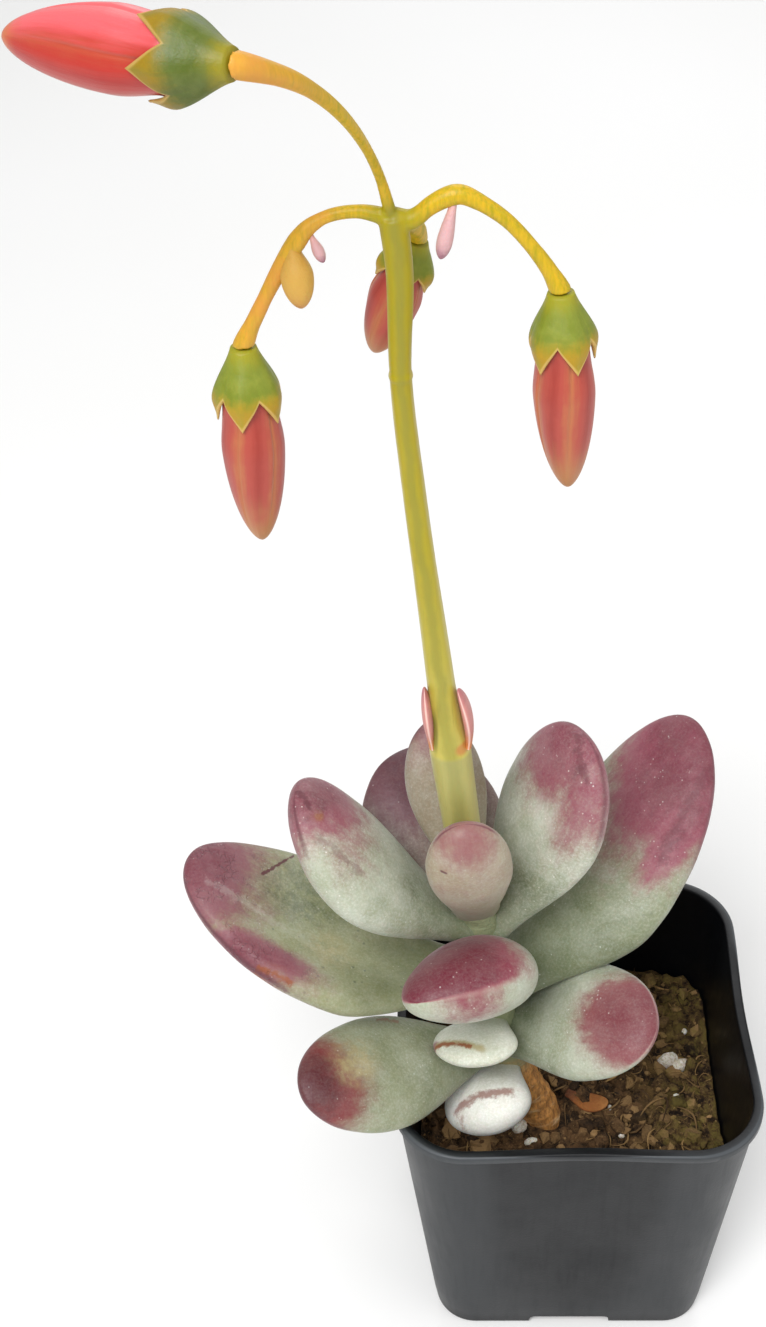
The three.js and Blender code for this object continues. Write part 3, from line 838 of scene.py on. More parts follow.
@dataclass
class Blade:
    """A fleshy blade on a narrow neck, from its foot to its tip, widest at its belly."""

    name: str
    foot: Point
    facing: Point
    tip: Point
    width: float
    thick: float
    belly: float = 0.6
    neck: float = 0.35
    roll: float = 0.0
    curl: float = 0.0
    hollow: float = 0.0
    sway: float = 0.0
    point: float = 1.0
    segments: int = 88
    rings: int = 60
    lumps: float = 0.12
    dent: Point = (0.0, 0.0, 1.0)
    lump_size: float = 5.0
    blunt: float = 1.2
    foot_thick: float = 0.25

    def shape(self, sphere: np.ndarray) -> tuple[np.ndarray, np.ndarray]:
        """Turns a unit sphere into the blade.

        Args:
            sphere: The sphere's vertices, its poles at the blade's tip and foot.

        Returns:
            The places in millimetres, and the sheet: millimetres across, millimetres along and
            face from -1 to 1.
        """
        polar = np.arccos(np.clip(sphere[:, 2], -1, 1))
        reach = np.maximum(np.hypot(sphere[:, 0], sphere[:, 1]), 1e-9)
        wide, high = sphere[:, 0] / reach, sphere[:, 1] / reach
        pole = (polar < 1e-3) | (polar > math.pi - 1e-3)
        wide, high = np.where(pole, 0.0, wide), np.where(pole, 0.0, high)
        tipward = polar < math.pi / 2
        fall = np.clip((polar / (math.pi / 2) - 1) * self.blunt, 0, 1)
        share = np.where(tipward, self.belly + (1 - self.belly) * np.cos(polar),
                         self.belly * (1 - fall))
        taper = self.neck + (1 - self.neck) * (0.5 + 0.5 * np.cos(math.pi * fall))
        spread = np.where(tipward, np.sin(polar) ** self.point, taper)
        across = self.sway * 4 * share * (1 - share) + spread * self.width / 2 * wide
        footward = self.foot_thick + (1 - self.foot_thick) * spread
        lift = self.thick / 2 * np.where(tipward, spread, footward) * high
        dip = self.hollow * np.sin(math.pi * share) * high ** 2
        lift = np.where(lift > 0, lift * (1 - 2 * dip), lift)
        start = np.array(self.foot)
        way = np.array(self.tip) - start
        length = float(np.linalg.norm(way))
        depth, middle, reach_along = self.dent
        dented = np.maximum(wide, 0) * np.exp(-((share * length - middle) / reach_along) ** 2)
        across = across - depth * dented
        places = self.placed(across, share * length, lift, length, start, way / length)
        return places, np.stack([across, share * length, high], axis=1)

    def placed(self, across: np.ndarray, along: np.ndarray, lift: np.ndarray, length: float,
               start: np.ndarray, forward: np.ndarray) -> np.ndarray:
        """Bends the blade's own sheet and lays it in its place.

        Args:
            across: Millimetres across the blade.
            along: Millimetres along it.
            lift: Millimetres above its middle face.
            length: Its length.
            start: Its foot.
            forward: The unit direction to its tip.

        Returns:
            The places.
        """
        upper = np.array(self.facing) - np.dot(self.facing, forward) * forward
        upper /= np.linalg.norm(upper)
        roll = math.radians(self.roll)
        upper = upper * math.cos(roll) + np.cross(forward, upper) * math.sin(roll)
        side = np.cross(forward, upper)
        bend = math.radians(self.curl)
        if abs(bend) > 1e-3:
            radius = length / (2 * math.sin(bend / 2))
            angle = (along / length - 0.5) * bend
            reach = radius - lift
            along = length / 2 + reach * np.sin(angle)
            lift = radius * math.cos(bend / 2) - reach * np.cos(angle)
        return start + across[:, None] * side + along[:, None] * forward + lift[:, None] * upper

    def build(self, patches: Sequence[Patch] = ()) -> Piece:
        """Makes the blade's mesh, with its sheet and its patches as attributes.

        Args:
            patches: The patches of colour on it.

        Returns:
            The piece.
        """
        piece = Bench.sphere(self.name, self.segments, self.rings)
        places, sheet = self.shape(Bench.places(piece))
        middle = places.mean(axis=0)
        out = places - middle
        out /= np.maximum(np.linalg.norm(out, axis=1), 1e-6)[:, None]
        Bench.reshape(piece, roughen(places, out, self.lump_size, self.lumps, seed=middle[0]))
        Bench.note(piece, "sheet", sheet)
        Bench.note(piece, "share", sheet[:, 1] / sheet[:, 1].max())
        for tint in Tint:
            shares = [patch.share(sheet) for patch in patches if patch.tint is tint]
            Bench.note(piece, tint.value, np.max([np.zeros(len(sheet)), *shares], axis=0))
        return piece


@dataclass
class Leaf(Blade):
    """A leaf of the rosette, with its skin and its markings."""

    level: float = 0.0
    skin: LeafFinish = field(default_factory=LeafFinish)
    patches: tuple[Patch, ...] = ()
    streaks: tuple[Streak, ...] = ()


def leaf(name: str, level: float, tip: Point, width: float, thick: float, **more: object) -> Leaf:
    """A leaf whose foot is on the stem's axis at a level; see Leaf for the rest."""
    return Leaf(name=name, foot=(0.0, 0.0, 0.0), facing=(0.0, 0.0, 1.0), tip=tip, width=width,
                thick=thick, level=level, **more)


LEAVES = (
    leaf(
        "leaf_7_front", 95.5, (-19, -14, 121.6), 13.6, 8, curl=30, belly=0.62, neck=0.6,
        skin=LeafFinish(flesh="8d866a", pale="9c8f76", blush="8f5c5c", deep="7d404a", rim="6e3642",
                        veil=0.25, specks=0.0, edged=0.8),
        patches=(
            Patch(Tint.BLUSH, 0, 27, 11, 12, 0.75),
            Patch(Tint.BLUSH, 0, 16, 12, 16, 0.3),
        ),
        streaks=(Streak(Tint.WINE, (3.7, 20.4), (4.3, 20.6), 0.7, 0.9, 0.1, Side.UNDER),),
    ),
    leaf(
        "leaf_6_right", 88, (0, 6, 122.8), 23.8, 9.4, curl=30, belly=0.6, neck=0.32,
        skin=LeafFinish(veil=0.55, specks=0.05, edged=0.5),
        patches=(
            Patch(Tint.BLUSH, -1, 43, 19, 25, 1.1),
            Patch(Tint.BLUSH, 8, 34, 9, 22, 0.75),
            Patch(Tint.WINE, 5, 36, 3, 6, 0.4),
            Patch(Tint.POWDER, 3, 26, 7, 6, 0.35),
        ),
        streaks=(Streak(Tint.WINE, (1.2, 39.8), (7, 35), 1.6, 0.45, 1.2),),
    ),
    leaf(
        "leaf_6_left", 90, (-45.1, -4, 119.9), 21, 10.5, curl=29, belly=0.62, neck=0.3, sway=-2.9,
        skin=LeafFinish(veil=0.5, specks=0.15, edged=0.6),
        patches=(
            Patch(Tint.BLUSH, 0, 44, 17, 25, 1.1),
            Patch(Tint.BLUSH, -7, 34, 7, 14, 0.4),
            Patch(Tint.WINE, -3, 39, 5, 3, 0.5),
            Patch(Tint.RUST, -4.1, 38.2, 1.8, 1.6, 0.9),
        ),
        streaks=(
            Streak(Tint.WINE, (-0.7, 41.4), (-3.6, 39.8), 1.0, 0.7, 0.8),
            Streak(Tint.WINE, (-7.3, 36.5), (-8.9, 28), 1.8, 0.3, 2.0),
        ),
    ),
    leaf(
        "leaf_7_back", 99, (-23.4, 8, 123.5), 13.2, 6.7, roll=9, curl=23, belly=0.61, neck=0.38,
        skin=LeafFinish(flesh="877a60", pale="8a7d68", blush="7f4f55", deep="5c2c36", veil=0.25,
                        edged=0.9),
        patches=(
            Patch(Tint.BLUSH, 0, 31, 11, 14, 0.9),
            Patch(Tint.WINE, -3, 28.5, 4, 2.5, 0.5),
        ),
    ),
    leaf(
        "leaf_5_front", 82, (-26.4, -28, 96.9), 20.4, 13, roll=17, belly=0.45, neck=0.6, sway=-3.8,
        point=1.2,
        skin=LeafFinish(blush="842f42", deep="6c1c30", rim="b99a92", veil=0.42, specks=0.0,
                        edged=0.3),
        patches=(
            Patch(Tint.BLUSH, -4, 24, 17, 22, 1.6, Side.UPPER),
            Patch(Tint.BLUSH, -8, 26, 9, 12, 0.7),
            Patch(Tint.WINE, -2, 27, 6, 6, 0.25, Side.UPPER),
        ),
    ),
    leaf(
        "leaf_5_back", 87, (-28.4, 20, 106.6), 24.5, 7, roll=4, curl=12, belly=0.6, neck=0.3,
        skin=LeafFinish(flesh="6f6055", pale="71584f", blush="653c45", deep="47232d", rim="9a7a76",
                        veil=0.2, edged=0.5),
        patches=(
            Patch(Tint.BLUSH, 0, 34, 20, 24, 1.2),
            Patch(Tint.WINE, -4, 32, 12, 9, 0.5),
        ),
    ),
    leaf(
        "leaf_4_right", 74, (21.3, 26, 107.2), 29.8, 10.5, curl=30, belly=0.43, neck=0.33, sway=1.3,
        skin=LeafFinish(flesh="5d6644", pale="868c6e", veil=0.32, specks=0.3, edged=0.3),
        patches=(
            Patch(Tint.BLUSH, 4, 56, 22, 37, 1.25),
            Patch(Tint.BLUSH, 11, 42, 6, 20, 1.1),
            Patch(Tint.WINE, 11, 38, 4, 7, 0.25),
            Patch(Tint.MOSS, 5, 12, 8, 7, 0.3),
        ),
        streaks=(Streak(Tint.WINE, (8.7, 52), (11.5, 35), 2.2, 0.35, 2.2),),
    ),
    leaf(
        "leaf_4_left", 78, (-65, 0, 99.8), 29, 11.7, curl=18, belly=0.46, neck=0.34, sway=-2.1,
        hollow=0.45, dent=(4.5, 13.5, 7.5),
        skin=LeafFinish(flesh="6a7048", pale="8c8f66", blush="865059", veil=0.25, specks=0.8,
                        edged=0.8, cracks=0.7),
        patches=(
            Patch(Tint.BLUSH, 0, 58, 24, 27, 1.15),
            Patch(Tint.BLUSH, -13, 41, 6, 20, 1.1),
            Patch(Tint.MOSS, 3, 34, 11, 15, 0.75, Side.UPPER),
            Patch(Tint.STRAW, -6, 28, 8, 8, 0.5),
            Patch(Tint.RUST, -14.5, 36, 1.8, 5, 0.4),
        ),
        streaks=(
            Streak(Tint.WINE, (3.1, 42.3), (9.5, 38), 0.7, 0.9, 0.5),
            Streak(Tint.POWDER, (-3.5, 50.5), (-4.6, 41), 2.4, 0.12, 2.0),
            Streak(Tint.POWDER, (-4.6, 41), (-6.5, 30.4), 2.6, 0.1, 2.2),
            Streak(Tint.RUST, (-14.6, 38.5), (-15.4, 32.7), 1.0, 0.9, 0.6, Side.BOTH),
        ),
    ),
    leaf(
        "leaf_3_front", 68, (-19.7, -20, 72), 15, 5.5, roll=9, belly=0.6, neck=0.3,
        skin=LeafFinish(flesh="a8ad93", pale="c5c8b4", bloom="e6e7dc", veil=0.9, specks=0.0),
        patches=(Patch(Tint.BLUSH, 6.5, 12.5, 2.2, 2, 0.8),),
        streaks=(
            Streak(Tint.STRAW, (5.5, 12.7), (-3.2, 13.2), 1.9, 0.8, 0.5),
            Streak(Tint.RUST, (5.7, 12.9), (-1.2, 13.3), 1.1, 0.9, 0.6),
        ),
    ),
    leaf(
        "leaf_2_right", 64, (12.4, -19, 80), 20.2, 9, roll=25, curl=7, belly=0.56, neck=0.5,
        sway=-1.1,
        skin=LeafFinish(blush="824046", deep="74303a", rim="b99a92", veil=0.45, specks=0.05,
                        edged=0.4),
        patches=(
            Patch(Tint.BLUSH, -0.5, 31, 14, 18, 1.3, Side.UPPER),
            Patch(Tint.BLUSH, 0, 34, 13, 11, 0.9),
        ),
    ),
    leaf(
        "leaf_2_left", 60.7, (-45.5, -30, 77.9), 19.4, 8.2, roll=-38, curl=17, belly=0.6, neck=0.28,
        skin=LeafFinish(flesh="656c4c", pale="888d6c", blush="7a3032", deep="561a20", veil=0.3,
                        specks=0.3, edged=0.4),
        patches=(
            Patch(Tint.BLUSH, 0, 45, 15, 18, 1.35),
            Patch(Tint.WINE, -1, 44, 9, 8, 0.55),
            Patch(Tint.STRAW, 2, 34, 7, 8, 0.7),
            Patch(Tint.MOSS, 0, 31, 6, 6, 0.4),
        ),
        streaks=(Streak(Tint.RUST, (7.4, 21.5), (8.6, 25), 1.0, 0.6, 1.4),),
    ),
    leaf(
        "leaf_1_front", 56, (-18.2, -22, 56.9), 16.4, 9, roll=12, curl=21, belly=0.58, neck=0.3,
        skin=LeafFinish(flesh="b9bca9", pale="d6d6c9", bloom="f3f2ec", deep="8f5f56", veil=1.0,
                        specks=0.0),
        patches=(Patch(Tint.RUST, 1.7, 16.6, 1.2, 1.2, 0.6),),
        streaks=(Streak(Tint.BLUSH, (2.7, 15.4), (-6.0, 10.8), 2.4, 0.8, 1.0),),
    ),
    leaf(
        "leaf_3_back", 68, (-12, 17, 76), 15, 8, curl=15, belly=0.6, neck=0.36,
        patches=(Patch(Tint.BLUSH, 0, 26, 11, 13, 1.0),),
    ),
    leaf(
        "leaf_1_back", 57, (-9, 15, 62), 14, 8, curl=15, belly=0.6, neck=0.36,
        patches=(Patch(Tint.BLUSH, 0, 23, 10, 10, 0.8),),
    ),
)


@dataclass
class Rosette:
    """The crossing pairs of leaves on the stem."""

    stem: Curve
    leaves: tuple[Leaf, ...] = LEAVES

    def build(self) -> None:
        """Makes and dresses every leaf."""
        for one in self.leaves:
            foot, direction = self.stem.at_height(one.level)
            one.foot, one.facing = tuple(foot), tuple(direction)
            piece = one.build(one.patches)
            Bench.settle(piece, one.skin.material(one.name, one.streaks), Slot.LEAF, one.name)


# Stem, stalk and flower head


@dataclass(frozen=True)
class BarkFinish:
    """Woody foot of the stem, which turns into pale green skin between the leaves."""

    bark: str = "dc9c54"
    bark_dark: str = "96683a"
    bark_light: str = "eac290"
    skin: str = "8d9470"
    skin_from: Span = (0.056, 0.064)

    def material(self) -> Material:
        """The stem's surface.

        Returns:
            The material.
        """
        desk = Desk("stem_bark")
        height = desk.split(desk.place)[2]
        fibre = desk.noise(0.9, 5.0, 0.7, at=desk.stretch(desk.place, (1.0, 1.0, 0.35)))
        rings = desk.noise(2.4, 3.0, 0.6, at=desk.stretch(desk.place, (0.4, 0.4, 1.6)))
        frayed = desk.sum("ADD", height, desk.times(rings, 0.006))
        colour = desk.paint(
            self.bark_dark,
            (desk.step(fibre, 0.35, 0.65), self.bark),
            (desk.step(rings, 0.55, 0.75), self.bark_light),
            (desk.step(frayed, *self.skin_from), self.skin),
        )
        normal = desk.relief((fibre, 0.35), (rings, 0.4))
        return desk.dress(colour, 0.72, normal, subsurface_weight=0.05, subsurface_scale=0.001)


@dataclass(frozen=True)
class Mark:
    """A soft spot of colour on the stalk: its middle and its reach, in metres, and its colour."""

    middle: Point
    reach: Point
    code: str
    most: float = 0.8

    def coat(self, desk: Desk) -> Coat:
        """Where it shows, and its colour."""
        rel = desk.vector("DIVIDE", desk.vector("SUBTRACT", desk.place, self.middle), self.reach)
        return desk.step(desk.vector("LENGTH", rel), 1.0, 0.4, 0.0, self.most), self.code


@dataclass(frozen=True)
class StalkFinish:
    """Juicy yellow-green stalk with an olive middle, yellower on its pedicels, and a painted sheen
    along its left and right edges.
    """

    low: str = "c2b658"
    high: str = "ab9c1c"
    top: str = "a49500"
    olive: str = "84812f"
    # Pale yellow painted sheen along the stalk's left and right edges.
    edge: str = "cdc487"
    yellow: str = "d0a912"
    orange: str = "d8943c"
    sheath: str = "9a9a6c"
    high_from: Span = (0.12, 0.17)
    top_from: Span = (0.17, 0.205)
    painted_sheen_until: Span = (0.205, 0.19)
    sheath_until: Span = (0.1312, 0.1302)
    orange_from: Span = (-0.031, -0.037)
    marks: tuple[Mark, ...] = (
        Mark((-0.0229, -0.0090, 0.1355), (0.0007, 0.0030, 0.0055), "6f6c2a"),
        Mark((-0.0187, -0.0085, 0.1322), (0.0016, 0.0030, 0.0014), "c07a3a"),
    )

    def material(self) -> Material:
        """The stalk's surface.

        Returns:
            The material.
        """
        desk = Desk("stalk_skin")
        x, _, height = desk.split(desk.place)
        flank, pedicel = desk.read("flank"), desk.read("pedicel")
        fibre = desk.noise(0.55, 4.0, 0.65, at=desk.stretch(desk.place, (1.0, 1.0, 0.1)))
        clouds = desk.noise(6.0, 3.0, 0.6)
        middle = desk.sum("ABSOLUTE", desk.fray(flank, (clouds, 0.35)))
        middle = desk.step(middle, 0.6, 0.1, 0.0, 0.55)
        # Painted sheen: pale along the stalk's left and right edges as seen from the front, where
        # its surface turns away.
        rim = desk.step(desk.sum("ABSOLUTE", desk.fray(flank, (fibre, 0.15))), 0.72, 1.0, 0.0, 0.6)
        left = desk.times(desk.step(x, *self.orange_from), pedicel)
        colour = desk.paint(
            self.low,
            (desk.step(height, *self.high_from), self.high),
            (desk.step(height, *self.top_from), self.top),
            (middle, self.olive),
            (desk.times(rim, desk.step(height, *self.painted_sheen_until)), self.edge),
            (desk.step(fibre, 0.5, 0.8, 0.0, 0.35), self.olive),
            (desk.step(height, *self.sheath_until, 0.0, 0.45), self.sheath),
            *(mark.coat(desk) for mark in self.marks),
            (pedicel, desk.paint(self.yellow, (desk.step(fibre, 0.35, 0.75), self.top))),
            (desk.times(left, desk.step(clouds, 0.3, 0.65, 0.35, 0.9)), self.orange),
        )
        normal = desk.relief((fibre, 0.07), (desk.noise(0.3, 3.0, 0.6), 0.02))
        return desk.dress(colour, desk.step(clouds, 0.3, 0.7, 0.4, 0.55), normal,
                          subsurface_weight=0.12, subsurface_scale=0.0015, specular_ior_level=0.4)


@dataclass
class Stem:
    """The woody main stem, ringed by the scars of old leaves."""

    path: Curve
    foot_radius: float = 3.9
    top_radius: float = 3.0
    sides: int = 40
    steps: int = 150
    scars: tuple[float, ...] = (42.6, 45.4, 48.0, 50.6, 53.2)
    scar_height: float = 0.22
    scar_reach: float = 0.45
    lump_size: float = 2.2
    lump_height: float = 0.22
    finish: BarkFinish = field(default_factory=BarkFinish)

    def build(self) -> None:
        """Makes and dresses the stem."""
        piece = Bench.tube("stem", self.sides, self.steps)
        share, middle, out = swept(piece, self.path, self.steps)
        radius = self.foot_radius + (self.top_radius - self.foot_radius) * share
        for scar in self.scars:
            off = (middle[:, 2] - scar) / self.scar_reach
            radius = radius + self.scar_height * np.exp(-off ** 2)
        places = middle + out * radius[:, None]
        Bench.reshape(piece, roughen(places, out, self.lump_size, self.lump_height))
        Bench.settle(piece, self.finish.material(), Slot.STEM, "stem")


@dataclass
class Bud:
    """One flower bud: its pedicel's path from the fork, its tip, width and turn."""

    name: str
    path: tuple[Point, ...]
    tip: Point
    width: float
    turn: float
    radii: tuple[float, ...]
    fresh: bool = False

    def pedicel(self, fork: Point) -> Curve:
        """The pedicel's middle line, to a little way past the foot of the calyx.

        Args:
            fork: Where it starts.

        Returns:
            The curve.
        """
        end = np.array(self.path[-1])
        forward = (np.array(self.tip) - end) / self.length
        return Curve((fork, *self.path, tuple(end + forward)), steps=40)

    def beyond(self, gap: float) -> Piece:
        """The tool that cuts the pedicel off square to the bud.

        Args:
            gap: How far short of the calyx the pedicel ends.

        Returns:
            The tool.
        """
        Bench.clear()
        bpy.ops.mesh.primitive_cube_add(size=1.0)
        tool = Bench.named("beyond")
        Bench.put(tool, self.laid(Bench.places(tool) * (10.0, 10.0, 5.0) + (0.0, 0.0, 2.5 - gap)))
        return tool

    def laid(self, local: np.ndarray) -> np.ndarray:
        """Places points of the bud, made along +Z, on the end of its pedicel.

        Args:
            local: The points, in millimetres from the calyx's foot.

        Returns:
            The places.
        """
        way = Vector(self.tip) - Vector(self.path[-1])
        turn = Vector((0, 0, 1)).rotation_difference(way).to_matrix()
        turn = np.array(turn @ Matrix.Rotation(math.radians(self.turn), 3, "Z"))
        return local @ turn.T + np.array(self.path[-1])

    @property
    def length(self) -> float:
        """The distance from the calyx's foot to the petals' tip."""
        return (Vector(self.tip) - Vector(self.path[-1])).length


@dataclass
class Stalk:
    """The flower stalk with its sheath, its node ring and the pedicels on its fork."""

    path: Curve
    buds: tuple[Bud, ...]
    fork: Point = (-26.6, -6.5, 217.3)
    levels: tuple[float, ...] = (111, 130.5, 130.9, 131.3, 137, 143, 165, 196, 207, 218)
    radii: tuple[float, ...] = (2.9, 3.2, 3.12, 2.95, 2.5, 2.1, 1.7, 1.45, 1.7, 1.85)
    ring: Point = (195.5, 1.65, 1.2)
    gap: float = 0.3
    voxel: float = 0.24
    flank_most: float = 1.2
    pedicel_from: Span = (198.0, 202.0)
    stalk_faces: tuple[int, int] = (32, 200)
    pedicel_faces: tuple[int, int] = (24, 90)
    finish: StalkFinish = field(default_factory=StalkFinish)

    def rod(self, name: str, path: Curve, radius: Callable[[np.ndarray, np.ndarray], np.ndarray],
            sides: int, steps: int) -> Piece:
        """A closed rod along a curve.

        Args:
            name: Its name.
            path: Its middle line.
            radius: The radius, from the share of the length and the place.
            sides: Faces round it.
            steps: Faces along it.

        Returns:
            The piece.
        """
        piece = Bench.tube(name, sides, steps)
        share, middle, out = swept(piece, path, steps)
        Bench.reshape(piece, middle + out * radius(share, middle)[:, None])
        return piece

    def build(self) -> None:
        """Makes the stalk as one smooth branching form and dresses it."""
        parts = [self.rod("flower_stalk", self.path,
                          lambda _, place: np.interp(place[:, 2], self.levels, self.radii),
                          *self.stalk_faces)]
        level, reach, height = self.ring
        middle, _ = self.path.at_height(level)
        ring = Bench.sphere("node_ring", 32, 16)
        Bench.reshape(ring, Bench.places(ring) * (reach, reach, height) + middle)
        parts.append(ring)
        for bud in self.buds:
            stations = np.linspace(0, 1, len(bud.radii))
            pedicel = self.rod(
                f"pedicel_{bud.name}", bud.pedicel(self.fork),
                lambda share, _, bud=bud, at=stations: np.interp(share, at, bud.radii),
                *self.pedicel_faces,
            )
            Bench.cut(pedicel, bud.beyond(self.gap))
            parts.append(pedicel)
        piece = Bench.join(parts, "flower_stalk")
        Bench.modify(piece, "REMESH", mode="VOXEL", voxel_size=self.voxel * MM,
                     use_smooth_shade=True)
        Bench.modify(piece, "SMOOTH", factor=0.5, iterations=4)
        Bench.take(piece)
        bpy.ops.object.shade_smooth()
        self.mark(piece)
        Bench.settle(piece, self.finish.material(), Slot.STALK, "flower_stalk")

    def mark(self, piece: Piece) -> None:
        """Notes how far each place lies to the stalk's side, and how far out on a pedicel.

        Args:
            piece: The finished stalk.
        """
        places = Bench.places(piece) / MM
        line = self.path.samples()
        middle = np.stack([np.interp(places[:, 2], line[:, 2], line[:, k]) for k in (0, 1)], axis=1)
        reach = np.interp(places[:, 2], self.levels, self.radii)
        off = places[:, :2] - middle
        Bench.note(piece, "flank", np.clip(off[:, 0] / reach, -self.flank_most, self.flank_most))
        far = np.hypot(off[:, 0], off[:, 1]) / reach + np.maximum(places[:, 2] - line[-1, 2], 0) / 2
        above = smoothstep(places[:, 2], *self.pedicel_from)
        Bench.note(piece, "pedicel", smoothstep(far, self.flank_most, 3.0) * above)


@dataclass(frozen=True)
class CalyxFinish:
    """Green cup whose five lobes turn yellow and end in thin pale edges."""

    name: str = "calyx_green"
    foot: str = "98941c"
    cup: str = "74801e"
    cup_pale: str = "8c9432"
    lobe: str = "ae8a10"
    edge: str = "cfae62"
    line: float = 0.165

    def material(self) -> Material:
        """The calyx's surface.

        Returns:
            The material.
        """
        desk = Desk(self.name)
        share, rimward, peak = desk.split(desk.read("bud", "Vector"))
        drawn = desk.noise(300.0, 4.0, 0.65, at=desk.read("drawn", "Vector"))
        mottle = desk.noise(1.8, 4.0, 0.6)
        line = desk.sum("ABSOLUTE", desk.sum("SUBTRACT", share, self.line))
        keel = desk.times(desk.step(peak, 0.75, 1.0), desk.step(share, 0.18, 0.3, 0.0, 0.3))
        colour = desk.paint(
            self.cup,
            (desk.step(mottle, 0.3, 0.75, 0.0, 0.7), self.cup_pale),
            (desk.step(desk.fray(share, (mottle, 0.05)), 0.09, 0.0), self.foot),
            (desk.step(desk.fray(share, (mottle, 0.05), (drawn, 0.04)), 0.15, 0.26), self.lobe),
            (desk.step(line, 0.012, 0.002, 0.0, 0.35), self.cup),
            (keel, self.cup_pale),
            (desk.step(rimward, 0.8, 0.97, 0.0, 0.8), self.edge),
        )
        normal = desk.relief((mottle, 0.12), (drawn, 0.05), (desk.noise(0.25, 3.0, 0.7), 0.02))
        return desk.dress(colour, desk.step(mottle, 0.3, 0.7, 0.42, 0.55), normal,
                          subsurface_weight=0.1, subsurface_scale=0.0015, specular_ior_level=0.4)


@dataclass(frozen=True)
class PetalFinish:
    """Furled coral petals: a red band along the middle of each, tan margins and tips, and a painted
    highlight on their upper side.
    """

    name: str = "petals_coral"
    band: str = "9c3226"
    flank: str = "ad4537"
    margin: str = "b5683f"
    # Painted highlight: a lighter colour laid on the upper side of each bud.
    painted_highlight: str = "c86458"
    tip: str = "b57e4a"
    tip_start: float = 0.66
    painted_highlight_strength: float = 0.3
    rough: float = 0.45

    def material(self) -> Material:
        """The petals' surface.

        Returns:
            The material.
        """
        desk = Desk(self.name)
        share, middle, lift = desk.split(desk.read("bud", "Vector"))
        veins = desk.noise(260.0, 4.0, 0.62, at=desk.read("drawn", "Vector"))
        clouds = desk.noise(3.2)
        across = desk.fray(middle, (veins, 0.3), (clouds, 0.25))
        # Painted highlight on the upper side of the bud, strongest where a place lies high above
        # its axis.
        painted_highlight_mask = desk.times(desk.step(desk.fray(lift, (veins, 0.15)), 0.62, 0.95), self.painted_highlight_strength)
        frayed = desk.fray(share, (clouds, 0.1), (veins, 0.08))
        colour = desk.paint(
            self.margin,
            (desk.step(across, -0.05, 0.5), self.flank),
            (desk.step(across, 0.5, 1.1), self.band),
            (painted_highlight_mask, self.painted_highlight),
            (desk.step(frayed, self.tip_start, 1.0, 0.0, 0.95), self.tip),
        )
        normal = desk.relief((veins, 0.06), (desk.noise(0.22, 3.0, 0.6), 0.012))
        return desk.dress(colour, self.rough, normal, subsurface_weight=0.12,
                          subsurface_scale=0.0015, specular_ior_level=0.45, sheen_weight=0.08)


